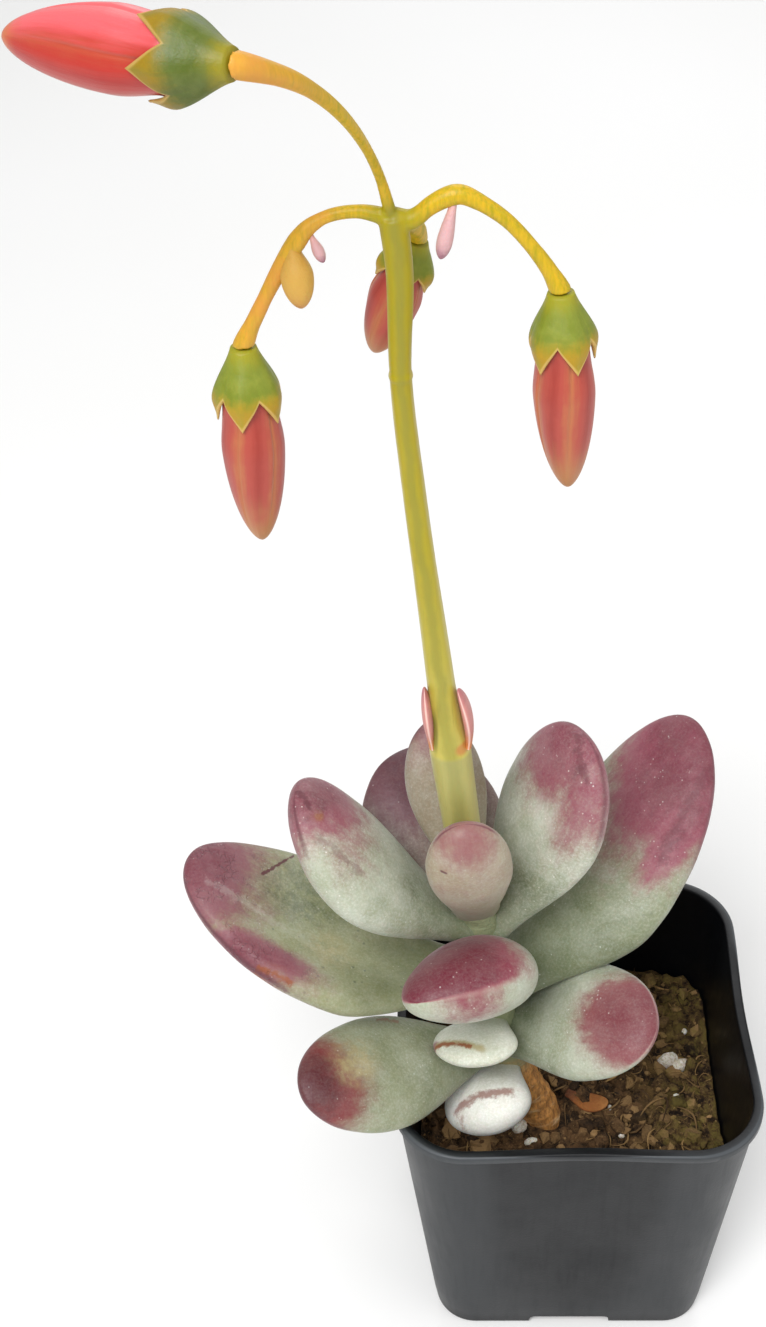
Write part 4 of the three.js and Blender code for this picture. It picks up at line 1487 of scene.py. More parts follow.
@dataclass
class FlowerBuds:
    """The calyx and the furled petals of every bud."""

    buds: tuple[Bud, ...]
    foot: float = 3.0
    flare: float = -0.05
    widest: float = 0.25
    floor: float = 0.1
    valley: float = 0.2
    lobe: float = 0.335
    lobe_power: float = 1.08
    wall: float = 0.7
    edge: float = 0.3
    lip: float = 0.008
    keel: float = 0.25
    gap: float = 0.3
    rise: Span = (0.06, 0.25)
    swell: Span = (0.26, 0.5)
    bulge: float = 0.7
    fall: float = 0.4
    taper: Span = (2.1, 0.62)
    seam: float = 0.06
    twist: float = 0.5
    petals: int = 5
    petal_start: float = 0.12
    around: int = 120
    rows: tuple[int, int, int] = (26, 14, 12)
    rim_from: float = 0.6
    lap: Span = (0.1, 0.6)
    lap_deep: float = 0.6
    seam_fade: float = 0.3
    vein_wide: float = 1.4
    vein_long: float = 0.8
    petal_faces: tuple[int, int] = (150, 80)
    green: CalyxFinish = field(default_factory=CalyxFinish)
    olive: CalyxFinish = CalyxFinish("calyx_olive", "8f8414", "505f14", "6c7636", "937606",
                                     "bb9a54")
    ripe: PetalFinish = field(default_factory=PetalFinish)
    # The young bud's petals: redder, with a stronger painted highlight ("e6646a") on top.
    red: PetalFinish = PetalFinish("petals_red", "a81a10", "b52e22", "b5452c", "e6646a", "c8662c",
                                   tip_start=0.85, painted_highlight_strength=0.85, rough=0.35)

    def petal_radius(self, share: np.ndarray, width: float) -> np.ndarray:
        """The radius of the furled petals.

        Args:
            share: Shares of the bud's length.
            width: The calyx's width.

        Returns:
            The radii in millimetres.
        """
        start, end = self.rise
        rise = np.sin(np.clip((share - start) / (end - start), 0, 1) * math.pi / 2)
        fall = np.clip((share - self.fall) / (1 - self.fall), 0, 1)
        power, root = self.taper
        bulge = self.bulge * smoothstep(share, *self.swell)
        full = (width / 2 - self.wall - self.gap) * rise + bulge
        return full * (1 - fall ** power) ** root

    def calyx(self, bud: Bud) -> Piece:
        """The five-lobed cup of one bud.

        Args:
            bud: The bud.

        Returns:
            The piece.
        """
        outer, rim, inner = self.rows
        steps = outer + rim + inner
        piece = Bench.tube(f"calyx_{bud.name}", self.around, steps)
        unit = Bench.places(piece)
        turn = np.arctan2(unit[:, 1], unit[:, 0])
        row = np.rint(unit[:, 2] * steps)
        centre = np.hypot(unit[:, 0], unit[:, 1]) < 0.5
        wave = (turn / math.tau * self.petals) % 1
        peak = 1 - np.abs(2 * wave - 1)
        reach = self.valley + peak ** self.lobe_power * (self.lobe - self.valley)
        outside = np.clip(row / outer, 0, 1)
        fold = np.clip((row - outer) / rim, 0, 1)
        inside = np.clip((row - outer - rim) / inner, 0, 1)
        share = np.where(row > outer, reach * (1 - inside) + self.floor * inside, reach * outside)
        wall = self.wall + (self.edge - self.wall) * smoothstep(share, self.valley, self.lobe)
        flare = smoothstep(share, self.flare, self.widest)
        body = self.petal_radius(np.maximum(share, self.widest), bud.width) + self.gap + wall
        fade = smoothstep(share, 0, self.widest) * (1 - smoothstep(share, self.widest, self.lobe))
        skin = self.foot / 2 + (body - self.foot / 2) * flare + self.keel * (2 * peak - 1) * fade
        lining = self.petal_radius(share, bud.width) + self.gap
        radius = np.where(centre, 0, skin + (lining - skin) * fold)
        share = share + self.lip * np.sin(math.pi * fold) * (row > outer) * (row < outer + rim)
        height = np.where(centre & (row < 1), 0, share * bud.length)
        places = np.stack([radius * np.cos(turn), radius * np.sin(turn), height], axis=1)
        Bench.reshape(piece, bud.laid(places))
        rimward = outside ** 3 * (row >= outer * self.rim_from)
        Bench.note(piece, "bud", np.stack([share, rimward, peak], axis=1))
        self.note_drawn(piece, turn, share)
        return piece

    def furled(self, bud: Bud) -> Piece:
        """The furled petals of one bud, each edge lapping over the next.

        Args:
            bud: The bud.

        Returns:
            The piece.
        """
        piece = Bench.sphere(f"petals_{bud.name}", *self.petal_faces)
        unit = Bench.places(piece)
        pole = np.abs(unit[:, 2]) > 0.99995
        share = self.petal_start + (1 - self.petal_start) * (0.5 + 0.5 * unit[:, 2]) ** 1.1
        turn = np.arctan2(unit[:, 1], unit[:, 0])
        wave = (turn / math.tau * self.petals + 0.5) % 1
        closed, opening = self.lap
        over = 1 - smoothstep(wave, opening, 1.0) * self.lap_deep
        lap = 1 - smoothstep(wave, 0.0, closed) * over
        seam = 1 - self.seam * lap * smoothstep(1 - share, 0.0, self.seam_fade)
        radius = np.where(pole, 0, self.petal_radius(share, bud.width) * seam)
        around = turn + self.twist * share
        places = np.stack([radius * np.cos(around), radius * np.sin(around), share * bud.length],
                          axis=1)
        laid = bud.laid(places)
        Bench.reshape(piece, laid)
        middle = 1 - np.abs(2 * wave - 1)
        above = laid[:, 2] - bud.laid(places * (0, 0, 1))[:, 2]
        lift = np.clip(above / np.maximum(radius, 0.3), -1, 1)
        Bench.note(piece, "bud", np.stack([share, middle, 0.5 + 0.5 * lift], axis=1))
        self.note_drawn(piece, turn, share)
        return piece

    def note_drawn(self, piece: Piece, turn: np.ndarray, share: np.ndarray) -> None:
        """Notes a place drawn out along the bud, for veins that run from foot to tip.

        Args:
            piece: The calyx or the petals.
            turn: The angle of each vertex round the bud.
            share: The share of the bud's length of each vertex.
        """
        wide, long = self.vein_wide, self.vein_long
        drawn = np.stack([np.cos(turn) * wide, np.sin(turn) * wide, share * long], axis=1)
        Bench.note(piece, "drawn", drawn)

    def build(self) -> None:
        """Makes and dresses every bud."""
        fresh = (self.olive.material(), self.red.material())
        others = (self.green.material(), self.ripe.material())
        for bud in self.buds:
            cup_skin, petal_skin = fresh if bud.fresh else others
            Bench.settle(self.calyx(bud), cup_skin, Slot.CALYX, f"calyx_{bud.name}")
            Bench.settle(self.furled(bud), petal_skin, Slot.PETALS, f"petals_{bud.name}")


@dataclass(frozen=True)
class BladeFinish:
    """Skin of the small blades: one colour that runs into another towards the tip."""

    name: str
    foot: str
    body: str
    tip: str
    edge: str
    rough: float = 0.5
    wrinkle: float = 0.06

    def material(self) -> Material:
        """The blade's surface.

        Returns:
            The material.
        """
        desk = Desk(self.name)
        face = desk.split(desk.read("sheet", "Vector"))[2]
        mottle = desk.noise(1.2, 5.0, 0.65)
        frayed = desk.fray(desk.read("share"), (mottle, 0.2))
        colour = desk.paint(
            self.foot,
            (desk.step(frayed, 0.05, 0.4), self.body),
            (desk.step(frayed, 0.7, 1.1), self.tip),
            (desk.step(desk.sum("ABSOLUTE", face), 0.35, 0.0, 0.0, 0.8), self.edge),
        )
        normal = desk.relief((mottle, 3 * self.wrinkle), (desk.noise(0.25, 4.0, 0.7), self.wrinkle))
        return desk.dress(colour, self.rough, normal, subsurface_weight=0.1, subsurface_scale=0.001)


@dataclass
class SmallBlades:
    """Bracts, undeveloped buds and the dried scrap on the soil."""

    bract: BladeFinish = BladeFinish("bract_skin", "d0834a", "cf8a84", "b0666c", "f0d2c4")
    yellow: BladeFinish = BladeFinish("small_bud_skin", "c99a3a", "cfa145", "c4874c", "dcbc74")
    pink: BladeFinish = BladeFinish("tiny_bud_skin", "d9a7a0", "cfa3a4", "8f5a6e", "e3cccb")
    dry: BladeFinish = BladeFinish("dry_scrap", "6d3d1e", "a9682f", "c98a4a", "7b4320", 0.75, 0.3)
    segments: int = 48
    rings: int = 40

    def build(self) -> None:
        """Makes and dresses every small blade."""
        rearward = (0.0, 1.0, 0.0)
        kinds: tuple[tuple[Blade, BladeFinish, Slot], ...] = (
            (Blade("bract_left", (-23.3, -7, 131.8), (1, 0, 0), (-24.3, -8, 143.8),
                   4.4, 1.6, 0.5, 0.6, curl=4, point=1.1, lumps=0.05), self.bract, Slot.BRACT),
            (Blade("bract_right", (-17.9, -7, 131.8), (-1, 0, 0), (-19.4, -8, 143.4),
                   4.4, 1.6, 0.5, 0.6, curl=28, point=1.1, lumps=0.05), self.bract, Slot.BRACT),
            (Blade("bud_small_left", (-39, -6.5, 214.4), rearward, (-38.2, -8, 206.2),
                   4.2, 4.2, 0.5, 0.35, point=1.2, lumps=0.05), self.yellow, Slot.BUDLET),
            (Blade("bud_tiny_left", (-36.6, -6.5, 215.4), rearward, (-35.1, -8.2, 212.5),
                   1.5, 1.5, 0.6, 0.4, point=1.2, lumps=0.03), self.pink, Slot.TINY_BUD),
            (Blade("bud_tiny_right", (-18.9, -6.5, 220), rearward, (-20.8, -8.4, 212.7),
                   2.0, 2.0, 0.72, 0.4, point=1.2, lumps=0.03), self.pink, Slot.TINY_BUD),
            (Blade("dry_leaf", (-0.4, -3.6, 42.4), (0, 0, 1), (7.2, -6.6, 42.9),
                   4.6, 1.4, 0.55, 0.4, curl=70, lumps=0.5), self.dry, Slot.DRY_LEAF),
        )
        for blade, finish, slot in kinds:
            blade.segments, blade.rings = self.segments, self.rings
            Bench.settle(blade.build(), finish.material(), slot, blade.name)


# Pot and soil


@dataclass(frozen=True)
class PotFinish:
    """Charcoal moulded plastic, half glossy, a little dusty outside, with a painted highlight along
    the top of its rim and painted shade on its inside wall.
    """

    body: str = "2d3033"
    dusty: str = "44484b"
    # Near black: painted shade on the inside wall.
    inner: str = "07090d"
    # Lighter grey: a painted highlight along the top of the rim, and small light specks all over.
    rim: str = "505458"
    rim_from: Span = (0.0610, 0.0613)

    def material(self) -> Material:
        """The pot's surface.

        Returns:
            The material.
        """
        desk = Desk("pot_plastic")
        height = desk.split(desk.place)[2]
        inside = desk.read("inside")
        dust = desk.noise(16.0, 5.0, 0.6)
        drawn = desk.noise(1.3, 4.0, 0.6, at=desk.stretch(desk.place, (1.0, 1.0, 0.06)))
        # Painted highlight: a thin lighter line along the top of the rim, outside only.
        edge = desk.times(desk.step(height, *self.rim_from, 0.0, 0.7), desk.step(inside, 0.3, 0.0))
        colour = desk.paint(
            self.body,
            (desk.step(dust, 0.4, 0.75, 0.0, 0.6), self.dusty),
            (desk.step(drawn, 0.55, 0.8, 0.0, 0.08), self.dusty),
            (desk.step(desk.cells(2.6), 0.07, 0.03, 0.0, 0.3), self.rim),
            # Painted shade: the inside wall darkened to near black.
            (inside, self.inner),
            (edge, self.rim),
        )
        rough = desk.sum("ADD", desk.step(dust, 0.3, 0.75, 0.36, 0.5),
                         desk.step(drawn, 0.4, 0.8, 0.0, 0.06))
        normal = desk.relief((desk.noise(0.45, 2.0, 0.5), 0.018), (drawn, 0.02))
        gloss = desk.step(inside, 0.0, 1.0, 0.4, 0.3)
        return desk.dress(colour, rough, normal, specular_ior_level=gloss)


@dataclass
class Pot:
    """The square nursery pot: a tapered shell with round corners, a lip and foot notches."""

    width: float = 63.0
    height: float = 61.425
    foot_width: float = 49.896
    rim_corner: float = 12.159
    foot_corner: float = 7.245
    wall: float = 1.2
    bow: float = 0.6
    lip_out: float = 0.5
    lip_height: float = 2.0
    notch_width: float = 15.0
    notch_height: float = 2.5
    notch_depth: float = 8.0
    drain: float = 2.2
    drill_length: float = 14.0
    inside_blend: float = 0.15
    foot_round: float = 1.0
    rim_round: float = 0.45
    inner_round: float = 0.3
    bar_round: float = 1.2
    centre: float = 0.01
    corner_from: float = 0.55
    around: int = 176
    finish: PotFinish = field(default_factory=PotFinish)

    def share(self, level: float | np.ndarray) -> float | np.ndarray:
        """How far up the pot a level is, from 0 to 1."""
        return np.clip(level / self.height, 0, 1)

    def half(self, level: float | np.ndarray) -> float | np.ndarray:
        """Half the outside width at a level, without the lip."""
        grown = (self.width - 2 * self.lip_out - self.foot_width) * self.share(level)
        return (self.foot_width + grown) / 2

    def corner(self, level: float | np.ndarray) -> float | np.ndarray:
        """The radius of the outside corners at a level."""
        return self.foot_corner + (self.rim_corner - self.foot_corner) * self.share(level)

    def ring(self, turns: np.ndarray, half: float, level: float, inset: float) -> np.ndarray:
        """A square ring with round corners, its sides bowed in a little.

        Args:
            turns: The angle of each point.
            half: Half the ring's width.
            level: Its height.
            inset: How far its corners lie inside the pot's outside.

        Returns:
            One place for each angle.
        """
        quarter, split = math.pi / 2, self.corner_from
        spread = min(1, half / (self.half(level) - inset))
        corner = (self.corner(level) - inset) * spread
        side = np.rint(turns / quarter)
        local = turns - side * quarter
        part = np.abs(local) / (quarter / 2)
        arc = (part - split) / (1 - split) * (quarter / 2)
        straight = part < split
        flat = half - corner
        bow = self.bow * self.share(level) * spread
        bowed = half - bow * np.cos(part / split * quarter) ** 2
        x = np.where(straight, bowed, flat + corner * np.cos(arc))
        y = np.where(straight, flat * part / split, flat + corner * np.sin(arc)) * np.sign(local)
        cos, sin = np.cos(side * quarter), np.sin(side * quarter)
        return np.stack([x * cos - y * sin, x * sin + y * cos, np.full(len(turns), level)], axis=1)

    def loft(self, name: str, profile: Sequence[Point]) -> Piece:
        """A closed square loft.

        Args:
            name: The piece's name.
            profile: Its rings: half width, height and inset, from the middle outwards and back.

        Returns:
            The piece.
        """
        piece = Bench.tube(name, self.around, len(profile) - 1)
        unit = Bench.places(piece)
        row = np.rint(unit[:, 2] * (len(profile) - 1)).astype(int)
        turns = np.arctan2(unit[:, 1], unit[:, 0])
        places = np.zeros((len(unit), 3))
        for i, (half, level, inset) in enumerate(profile):
            here = row == i
            places[here] = self.ring(turns[here], half, level, inset)
        centre = np.hypot(unit[:, 0], unit[:, 1]) < 0.5
        places[centre, :2] = 0
        Bench.reshape(piece, places)
        return piece

    def bar(self, turn: int, width: float, height: float, bottom: float, inner: float,
            outer: float) -> Piece:
        """A bar with rounded top edges across the middle of one side of the foot.

        Args:
            turn: The side, counted in quarter turns from the front.
            width: Its width.
            height: The height of its top.
            bottom: The height of its underside.
            inner: How far from the middle it starts.
            outer: How far from the middle it ends.

        Returns:
            The piece.
        """
        Bench.clear()
        bpy.ops.mesh.primitive_cube_add(size=MM)
        piece = Bench.named("foot_bar")
        with Bench.editing(piece):
            bpy.ops.mesh.select_all(action="SELECT")
            bpy.ops.transform.resize(value=(width, outer - inner, height - bottom))
            middle = (0, -(outer + inner) / 2 * MM, (height + bottom) / 2 * MM)
            bpy.ops.transform.translate(value=middle)
            bpy.ops.mesh.select_all(action="DESELECT")
            mesh = bmesh.from_edit_mesh(piece.data)
            for edge in mesh.edges:
                low, high = edge.verts
                upper = min(low.co.z, high.co.z) > (height - 0.1) * MM
                edge.select_set(upper and abs(low.co.y - high.co.y) > abs(low.co.x - high.co.x))
            bmesh.update_edit_mesh(piece.data)
            bpy.ops.mesh.bevel(offset=self.bar_round * MM, segments=5)
        piece.data.transform(Matrix.Rotation(turn * math.pi / 2, 4, "Z"))
        return piece

    @staticmethod
    def arc(x: float, z: float, radius: float, start: float, inset: float = 0.0,
            count: int = 6) -> list[Point]:
        """A quarter of a round edge about a point of a profile, from a start in degrees."""
        turns = np.radians(np.linspace(start, start + 90, count))
        return [(x + radius * math.cos(turn), z + radius * math.sin(turn), inset) for turn in turns]

    def profile(self) -> list[Point]:
        """The pot's rings, from the middle of its foot over the rim to the middle of its floor.

        Returns:
            Half width, height and inset of each.
        """
        foot, top, wall, rim = self.half(0), self.height, self.wall, self.width / 2
        lip = top - self.lip_height
        under = self.half(lip)
        inner = self.half(top) - wall + self.inner_round
        return [
            (self.centre, 0.0, 0.0),
            (0.5 * foot, 0.0, 0.0),
            *self.arc(foot - self.foot_round, self.foot_round, self.foot_round, -90),
            *((self.half(z), z, 0.0) for z in np.linspace(4, lip, 22)),
            (under + 0.28, lip + 0.04, 0.0),
            (under + 0.45, lip + 0.2, 0.0),
            (rim - 0.03, lip + 0.5, 0.0),
            *self.arc(rim - self.rim_round, top - self.rim_round, self.rim_round, 0),
            *self.arc(inner, top - self.inner_round, self.inner_round, 90, wall, count=5),
            *((self.half(z) - wall, z, wall) for z in np.linspace(top - 1.5, wall + 2, 20)),
            (self.half(wall) - wall - 1, wall + 0.3, wall),
            (self.half(wall) * 0.6, wall, wall),
            (self.centre, wall, wall),
        ]

    def build(self) -> None:
        """Makes and dresses the pot."""
        piece = self.loft("pot", self.profile())
        wall, reach = self.wall, self.foot_width / 2
        start = reach - self.notch_depth
        for turn in range(4):
            cover = self.bar(turn, self.notch_width + 2 * wall, self.notch_height + wall, wall / 2,
                             start, reach - wall / 2)
            Bench.cut(piece, cover, Operation.JOIN)
            room = self.bar(turn, self.notch_width, self.notch_height, -1.0, start + wall,
                            reach + 3)
            Bench.cut(piece, room)
            Bench.cut(piece, self.drill(turn))
        Bench.take(piece)
        bpy.ops.object.shade_smooth_by_angle(angle=math.radians(40))
        self.mark_inside(piece)
        Bench.settle(piece, self.finish.material(), Slot.POT, "pot")

    def drill(self, turn: int) -> Piece:
        """The tool for one drain hole.

        Args:
            turn: The side, counted in quarter turns from the front.

        Returns:
            The tool.
        """
        Bench.clear()
        reach = self.foot_width / 2 - self.notch_depth / 2 - self.wall / 2
        radius, depth = self.drain * MM, self.drill_length * MM
        bpy.ops.mesh.primitive_cylinder_add(vertices=32, radius=radius, depth=depth)
        piece = Bench.named("drill")
        move = Matrix.Translation((0, -reach * MM, 0))
        piece.data.transform(Matrix.Rotation(turn * math.pi / 2, 4, "Z") @ move)
        return piece

    def mark_inside(self, piece: Piece) -> None:
        """Notes which vertices belong to the inside wall, which is painted darker as shade and is
        glossier.

        Args:
            piece: The finished pot.
        """
        places = Bench.places(piece) / MM
        corner = self.corner(places[:, 2])
        flat = (self.half(places[:, 2]) - corner)[:, None]
        excess = np.linalg.norm(np.maximum(np.abs(places[:, :2]) - flat, 0), axis=1) - corner
        inside = smoothstep(-excess, -self.inside_blend, self.inside_blend)
        Bench.note(piece, "inside", inside)


@dataclass(frozen=True)
class SoilFinish:
    """Dark fibrous compost, dry on its crumbs, with an olive moss bloom on one side."""

    dark: str = "1d140d"
    brown: str = "6c5034"
    dry: str = "b08c5e"
    moss: str = "766a33"
    moss_from: Span = (0.018, 0.034)
    fibre_dark: str = "3a2716"
    fibre_pale: str = "a88656"
    stripe: str = "2c1d10"
    pore: str = "d2c4a8"
    white: str = "fffaf0"

    def material(self, name: str, crumb: bool) -> Material:
        """The soil's surface.

        Args:
            name: The material's name.
            crumb: Whether it dresses loose crumbs, which have a tone of their own.

        Returns:
            The material.
        """
        desk = Desk(name)
        x = desk.split(desk.place)[0]
        clods = desk.noise(3.0, 6.0, 0.7)
        grit = desk.noise(0.5, 5.0, 0.75)
        coats = [(desk.step(clods, 0.35, 0.62), self.brown),
                 (desk.step(grit, 0.52, 0.78), self.dry)]
        if crumb:
            tone = desk.read("tone")
            coats.append((desk.step(tone, 0.35, 1.0, 0.0, 0.85), self.dry))
            coats.append((desk.step(tone, 0.3, 0.0, 0.0, 0.8), self.dark))
        right = desk.sum("ADD", x, desk.times(desk.noise(9.0, 4.0, 0.6), 0.02))
        mossy = desk.step(clods, 0.42, 0.62, 0.0, 0.8)
        mossy = desk.times(desk.step(right, *self.moss_from), mossy)
        colour = desk.paint(self.dark, *coats, (mossy, self.moss))
        normal = desk.relief((clods, 1.0), (grit, 0.3))
        return desk.dress(colour, 0.93, normal, specular_ior_level=0.25)

    def fibre(self) -> Material:
        """Straw-brown fibres, a tone each.

        Returns:
            The material.
        """
        desk = Desk("soil_fibre")
        stripes = desk.noise(0.3, 3.0, 0.6)
        striped = desk.step(stripes, 0.5, 0.7, 0.0, 0.4)
        colour = desk.paint(self.fibre_dark, (desk.read("tone"), self.fibre_pale),
                            (striped, self.stripe))
        return desk.dress(colour, 0.85, desk.relief((stripes, 0.08)), specular_ior_level=0.3)

    def perlite(self) -> Material:
        """Porous white perlite.

        Returns:
            The material.
        """
        desk = Desk("perlite")
        pores = desk.noise(0.45, 4.0, 0.7)
        colour = desk.paint(self.pore, (desk.step(pores, 0.35, 0.6), self.white))
        normal = desk.relief((pores, 0.35))
        return desk.dress(colour, 0.9, normal, subsurface_weight=0.1, subsurface_scale=0.001)


@dataclass
class Soil:
    """The compost: a block with a crumbly top, loose crumbs, fibres and perlite."""

    pot: Pot
    level: float = 40.0
    clearance: float = 0.3
    rings: int = 80
    crumbs: int = 1300
    crumb_sizes: Span = (0.25, 2.1)
    flats: tuple[float, ...] = (0.6, 0.8, 0.45, 0.7)
    fibres: int = 560
    fibre_sizes: Span = (0.5, 1.6)
    fibre_length: float = 4.0
    fibre_radius: float = 0.16
    clods: float = 1.3
    clod_sizes: Span = (2.6, 1.1)
    wall_room: float = 0.6
    corner: float = 9.0
    stem_foot: Span = (-5.3, -6.5)
    stem_room: float = 4.5
    perlite_spots: tuple[Point, ...] = ()
    finish: SoilFinish = field(default_factory=SoilFinish)

    def relief(self, x: float, y: float) -> float:
        """How far the soil's top lies above its level, without its clods.

        Args:
            x: Millimetres to the right.
            y: Millimetres to the rear.

        Returns:
            The height in millimetres.
        """
        broad = 0.7 * math.sin(0.21 * x + 0.6) * math.cos(0.19 * y - 0.4)
        lumps = 0.55 * math.sin(1.1 * x + 0.9 * y) * math.cos(0.8 * x - 1.2 * y + 1.0)
        return broad + lumps

    def surface(self, x: float, y: float) -> float:
        """The height of the soil's top, with its clods.

        Args:
            x: Millimetres to the right.
            y: Millimetres to the rear.

        Returns:
            The height in millimetres.
        """
        large, small = self.clod_sizes
        coarse = noise.noise(Vector((x / large, y / large, 3.0)))
        fine = noise.noise(Vector((x / small, y / small, 8.0)))
        return self.level + self.relief(x, y) + self.clods * (coarse + 0.5 * fine)

    def block(self) -> Piece:
        """The block of soil in the pot.

        Returns:
            The piece.
        """
        bottom = inset = self.pot.wall + self.clearance
        edge = self.pot.half(self.level) - inset - 0.1
        sides = [(self.pot.half(z) - inset, z, inset)
                 for z in np.linspace(bottom, self.level - 1.5, 8)]
        centre = self.pot.centre
        top = [(max(edge * (1 - i / self.rings), centre), self.level, inset)
               for i in range(self.rings + 1)]
        piece = self.pot.loft("soil", [(centre, bottom, inset), *sides, *top])
        places = Bench.places(piece) / MM
        for place in places:
            if place[2] > self.level - 0.5:
                place[2] = self.surface(place[0], place[1])
        Bench.reshape(piece, places)
        return piece

    def chunk(self, name: str, seed: float, flat: float) -> Piece:
        """One irregular crumb at the origin.

        Args:
            name: Its name.
            seed: Makes it different from the others.
            flat: How flat it is.

        Returns:
            The piece.
        """
        Bench.clear()
        bpy.ops.mesh.primitive_ico_sphere_add(subdivisions=1, radius=MM)
        piece = Bench.named(name)
        with Bench.editing(piece):
            bpy.ops.mesh.select_all(action="SELECT")
            bpy.ops.transform.resize(value=(1.0, 0.8, flat))
        places = Bench.places(piece) / MM
        Bench.put(piece, roughen(places, places, 0.7, 0.7, seed))
        return piece

    def scatter(self, name: str, models: Sequence[Piece], spots: Sequence[tuple[float, ...]],
                random: np.random.Generator) -> Piece:
        """Copies models onto the soil and joins them.


        Args:
            name: The joined piece's name.
            models: The models, which are removed.
            spots: Rows of x, y, size and tone.
            random: Gives each copy its turn.

        Returns:
            The joined piece.
        """
        copies = []
        for i, (x, y, size, tone) in enumerate(spots):
            copy = models[i % len(models)].copy()
            copy.data = copy.data.copy()
            bpy.context.collection.objects.link(copy)
            turn = Matrix.Rotation(random.uniform(0, math.tau), 4, "Z")
            tilt = Matrix.Rotation(random.uniform(-0.7, 0.7), 4, "X")
            lift = Matrix.Translation(Vector((x, y, self.surface(x, y) + 0.3 * size)) * MM)
            copy.data.transform(lift @ turn @ tilt @ Matrix.Scale(size, 4))
            Bench.note(copy, "tone", np.full(len(copy.data.vertices), tone))
            copies.append(copy)
        for model in models:
            bpy.data.objects.remove(model)
        return Bench.join(copies, name)

    def spots(self, count: int, small: float, large: float,
              random: np.random.Generator) -> list[tuple[float, ...]]:
        """Random places on the soil, clear of the walls and of the stem.

        Args:
            count: How many.
            small: The smallest size.
            large: The largest size.
            random: The numbers' source.

        Returns:
            Rows of x, y, size and tone.
        """
        reach = self.pot.half(self.level) - self.pot.wall - self.wall_room
        found: list[tuple[float, ...]] = []
        while len(found) < count:
            x, y = random.uniform(-reach, reach, 2)
            size = small + (large - small) * random.random() ** 3
            past = [max(abs(value) - reach + self.corner, 0) for value in (x, y)]
            in_corner = math.hypot(*past) > self.corner - size
            near_wall = max(abs(x), abs(y)) > reach - size
            near_stem = math.dist((x, y), self.stem_foot) < self.stem_room + size
            if not (in_corner or near_wall or near_stem):
                found.append((x, y, size, random.random()))
        return found

    def build(self) -> None:
        """Makes and dresses the soil and what lies on it."""
        random = np.random.default_rng(SEED)
        compost = self.finish.material("soil_compost", crumb=False)
        Bench.settle(self.block(), compost, Slot.SOIL, "soil")
        models = [self.chunk(f"crumb_model_{i}", 3.1 * i, flat)
                  for i, flat in enumerate(self.flats)]
        spots = self.spots(self.crumbs, *self.crumb_sizes, random)
        crumbs = self.scatter("soil_crumbs", models, spots, random)
        Bench.settle(crumbs, self.finish.material("soil_crumb", crumb=True), Slot.SOIL)
        models = [self.strand(f"fibre_model_{i}", i) for i in range(5)]
        spots = self.spots(self.fibres, *self.fibre_sizes, random)
        fibres = self.scatter("soil_fibres", models, spots, random)
        Bench.settle(fibres, self.finish.fibre(), Slot.SOIL)
        models = [self.chunk(f"perlite_model_{i}", 9.7 * i, 0.85) for i in range(3)]
        spots = [(x, y, size, 0.5) for x, y, size in self.perlite_spots]
        perlite = self.scatter("perlite", models, spots, random)
        Bench.modify(perlite, "SUBSURF", levels=1, render_levels=1)
        Bench.settle(perlite, self.finish.perlite(), Slot.SOIL)

    def strand(self, name: str, seed: int) -> Piece:
        """One bent fibre at the origin.

        Args:
            name: Its name.
            seed: Makes it different from the others.

        Returns:
            The piece.
        """
        piece = Bench.tube(name, 5, 6)
        unit = Bench.places(piece)
        share = unit[:, 2]
        bend = 0.5 + 0.35 * seed
        thick = self.fibre_radius * (1 - 0.6 * np.abs(2 * share - 1))
        x = (share - 0.5) * self.fibre_length
        y = bend * np.sin(share * math.pi) * (-1) ** seed + unit[:, 0] * thick
        z = 0.4 * np.sin(share * (2.0 + seed)) + unit[:, 1] * thick
        Bench.reshape(piece, np.stack([x, y, z], axis=1))
        return piece


# Studio


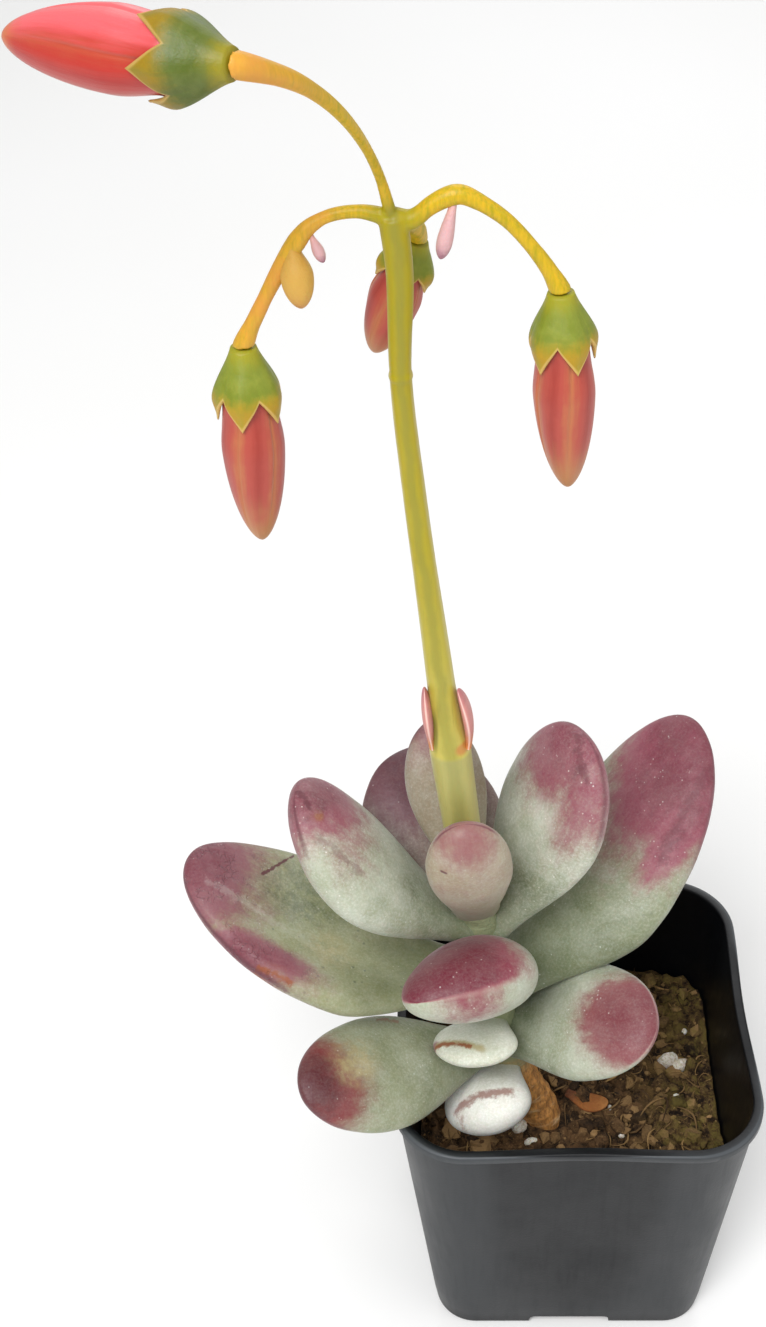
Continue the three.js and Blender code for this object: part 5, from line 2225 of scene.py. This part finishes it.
@dataclass
class Studio:
    """Pale floor, soft light and the camera at the photograph's viewing angle."""

    camera_place: Point = (-0.0201, -0.20935, 0.31443)
    pitch: float = 39.44
    yaw: float = -2.86
    roll: float = -2.69
    focal: float = 1800.0
    image_long: float = 1327.0
    sensor: float = 36.0
    floor_size: float = 6.0
    sky: float = 0.45
    middle: Point = (0.0, 0.0, 0.12)
    lamps: tuple[tuple[str, Point, float, float], ...] = (
        ("key", (-0.22, -0.55, 0.85), 0.45, 8.0),
        ("fill", (0.7, -0.3, 0.6), 0.7, 1.5),
        ("back", (0.1, 0.8, 0.7), 0.7, 3.0),
    )

    @staticmethod
    def hung(name: str, data: bpy.types.ID) -> Piece:
        """Adds a camera or a light to the scene.

        Args:
            name: Its name.
            data: The camera or the light.

        Returns:
            The piece that holds it.
        """
        piece = bpy.data.objects.new(name, data)
        bpy.context.scene.collection.objects.link(piece)
        return piece

    def camera(self) -> None:
        """Puts the camera where the photograph was taken from."""
        data = bpy.data.cameras.new("camera")
        data.sensor_fit = "AUTO"
        data.sensor_width = self.sensor
        data.lens = self.sensor * self.focal / self.image_long
        data.clip_start, data.clip_end = 0.01, 20.0
        camera = self.hung("camera", data)
        pitch, yaw, roll = (math.radians(a) for a in (self.pitch, self.yaw, self.roll))
        level = math.cos(pitch)
        forward = Vector((math.sin(yaw) * level, math.cos(yaw) * level, -math.sin(pitch)))
        right = Vector((math.cos(yaw), -math.sin(yaw), 0.0))
        up = right.cross(forward)
        across = right * math.cos(roll) + up * math.sin(roll)
        above = up * math.cos(roll) - right * math.sin(roll)
        turn = Matrix((across, above, -forward)).transposed()
        camera.matrix_world = Matrix.Translation(self.camera_place) @ turn.to_4x4()
        bpy.context.scene.camera = camera

    def floor(self) -> None:
        """Lays the plain pale floor."""
        Bench.clear()
        bpy.ops.mesh.primitive_plane_add(size=self.floor_size)
        piece = Bench.named("studio_floor")
        desk = Desk("studio_white")
        pale = desk.paint("f4f4f3", (desk.step(desk.noise(400.0, 2.0), 0.3, 0.7), "f7f7f7"))
        piece.data.materials.append(desk.dress(pale, 0.8))

    def light(self) -> None:
        """Lights the scene softly from above, by the sky and by square lamps."""
        world = bpy.data.worlds.new("studio")
        world.use_nodes = True
        background = world.node_tree.nodes["Background"]
        background.inputs["Color"].default_value = (1.0, 1.0, 1.0, 1.0)
        background.inputs["Strength"].default_value = self.sky
        bpy.context.scene.world = world
        for name, place, size, power in self.lamps:
            data = bpy.data.lights.new(name, "AREA")
            data.energy, data.size = power, size
            lamp = self.hung(name, data)
            lamp.location = place
            aim = Vector(self.middle) - Vector(place)
            lamp.rotation_euler = aim.to_track_quat("-Z", "Y").to_euler()

    def build(self) -> None:
        """Sets the whole scene."""
        bpy.context.scene.view_settings.view_transform = "Standard"
        self.camera()
        self.floor()
        self.light()


# The plant's lines and the spots of perlite


PLANE_Y = -6.5


def upright(*points: Span) -> tuple[Point, ...]:
    """Points of the upright plane that the stem and the stalk lie in."""
    return tuple((x, PLANE_Y, z) for x, z in points)


STEM_LINE = Curve(upright((-2.5, 26), (-5.3, 40), (-11.2, 56), (-14.4, 76), (-16.2, 90),
                          (-18.6, 111)))
STALK_LINE = Curve(upright((-18.7, 111.3), (-20.7, 131), (-22.4, 150), (-24.8, 176), (-26.2, 195.5),
                           (-25.9, 210), (-26.5, 217.6)))
BUDS = (
    Bud("upper_left",
        ((-27.9, -9.3, 224.3), (-30.2, -16.5, 232.9), (-33.2, -23.5, 239.6), (-36.5, -28.8, 243.9),
         (-41.2, -32.3, 246.7)),
        (-67.1, -19.1, 245.5), 10, -7, (0.85, 0.65, 0.62, 0.7, 0.8, 0.9, 1.15, 1.6), fresh=True),
    Bud("left",
        upright((-30.4, 218.3), (-34.1, 217.9), (-36.7, 216.5), (-38.5, 214.4), (-40.6, 211.1),
                (-43.6, 205.6), (-46.2, 200.1)),
        (-46.1, -6.5, 170), 9.2, -45, (1.2, 0.85, 0.82, 1.25, 1.1, 0.95, 1.05, 1.6)),
    Bud("right",
        upright((-24.3, 217.1), (-21.8, 218.9), (-19.9, 219.9), (-18.3, 220.2), (-16.1, 219.2),
                (-12.7, 216.7), (-9.6, 213.1), (-7.3, 209.7), (-5.9, 206.8)),
        (-4.2, -6.5, 177.8), 8.9, -6, (1.5, 1.1, 1.3, 1, 0.9, 0.9, 1.05, 1.6)),
    Bud("back",
        ((-25.6, -4.5, 216), (-24.6, -1.8, 214.2), (-23.8, 0.6, 212.4), (-23.9, 2.9, 209.8)),
        (-30, 4.4, 192.8), 7.8, 0, (1.3, 1.3, 1.2, 1.2, 1.3, 1.6)),
)
PERLITE = (
    (18.8, 5.0, 2.6), (21.4, 4.0, 2.3), (-9.1, -10.5, 2.1), (-6.9, -13.8, 1.8), (7.5, -5.4, 0.8),
    (20, -3, 0.9), (9, -12, 0.8), (23, 12, 0.9), (12, 14, 1.0), (-18, 12, 1.2), (-20, -5, 0.9),
    (2, 20, 1.1), (15, -18, 0.6),
)


def main() -> None:
    """Builds the plant, its pot and the studio."""
    logging.basicConfig(level=logging.INFO, format="%(message)s")
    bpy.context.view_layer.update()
    Studio().build()
    pot = Pot()
    pot.build()
    Soil(pot, perlite_spots=PERLITE).build()
    Stem(STEM_LINE).build()
    Rosette(STEM_LINE).build()
    Stalk(STALK_LINE, BUDS).build()
    FlowerBuds(BUDS).build()
    SmallBlades().build()


if __name__ == "__main__":
    main()
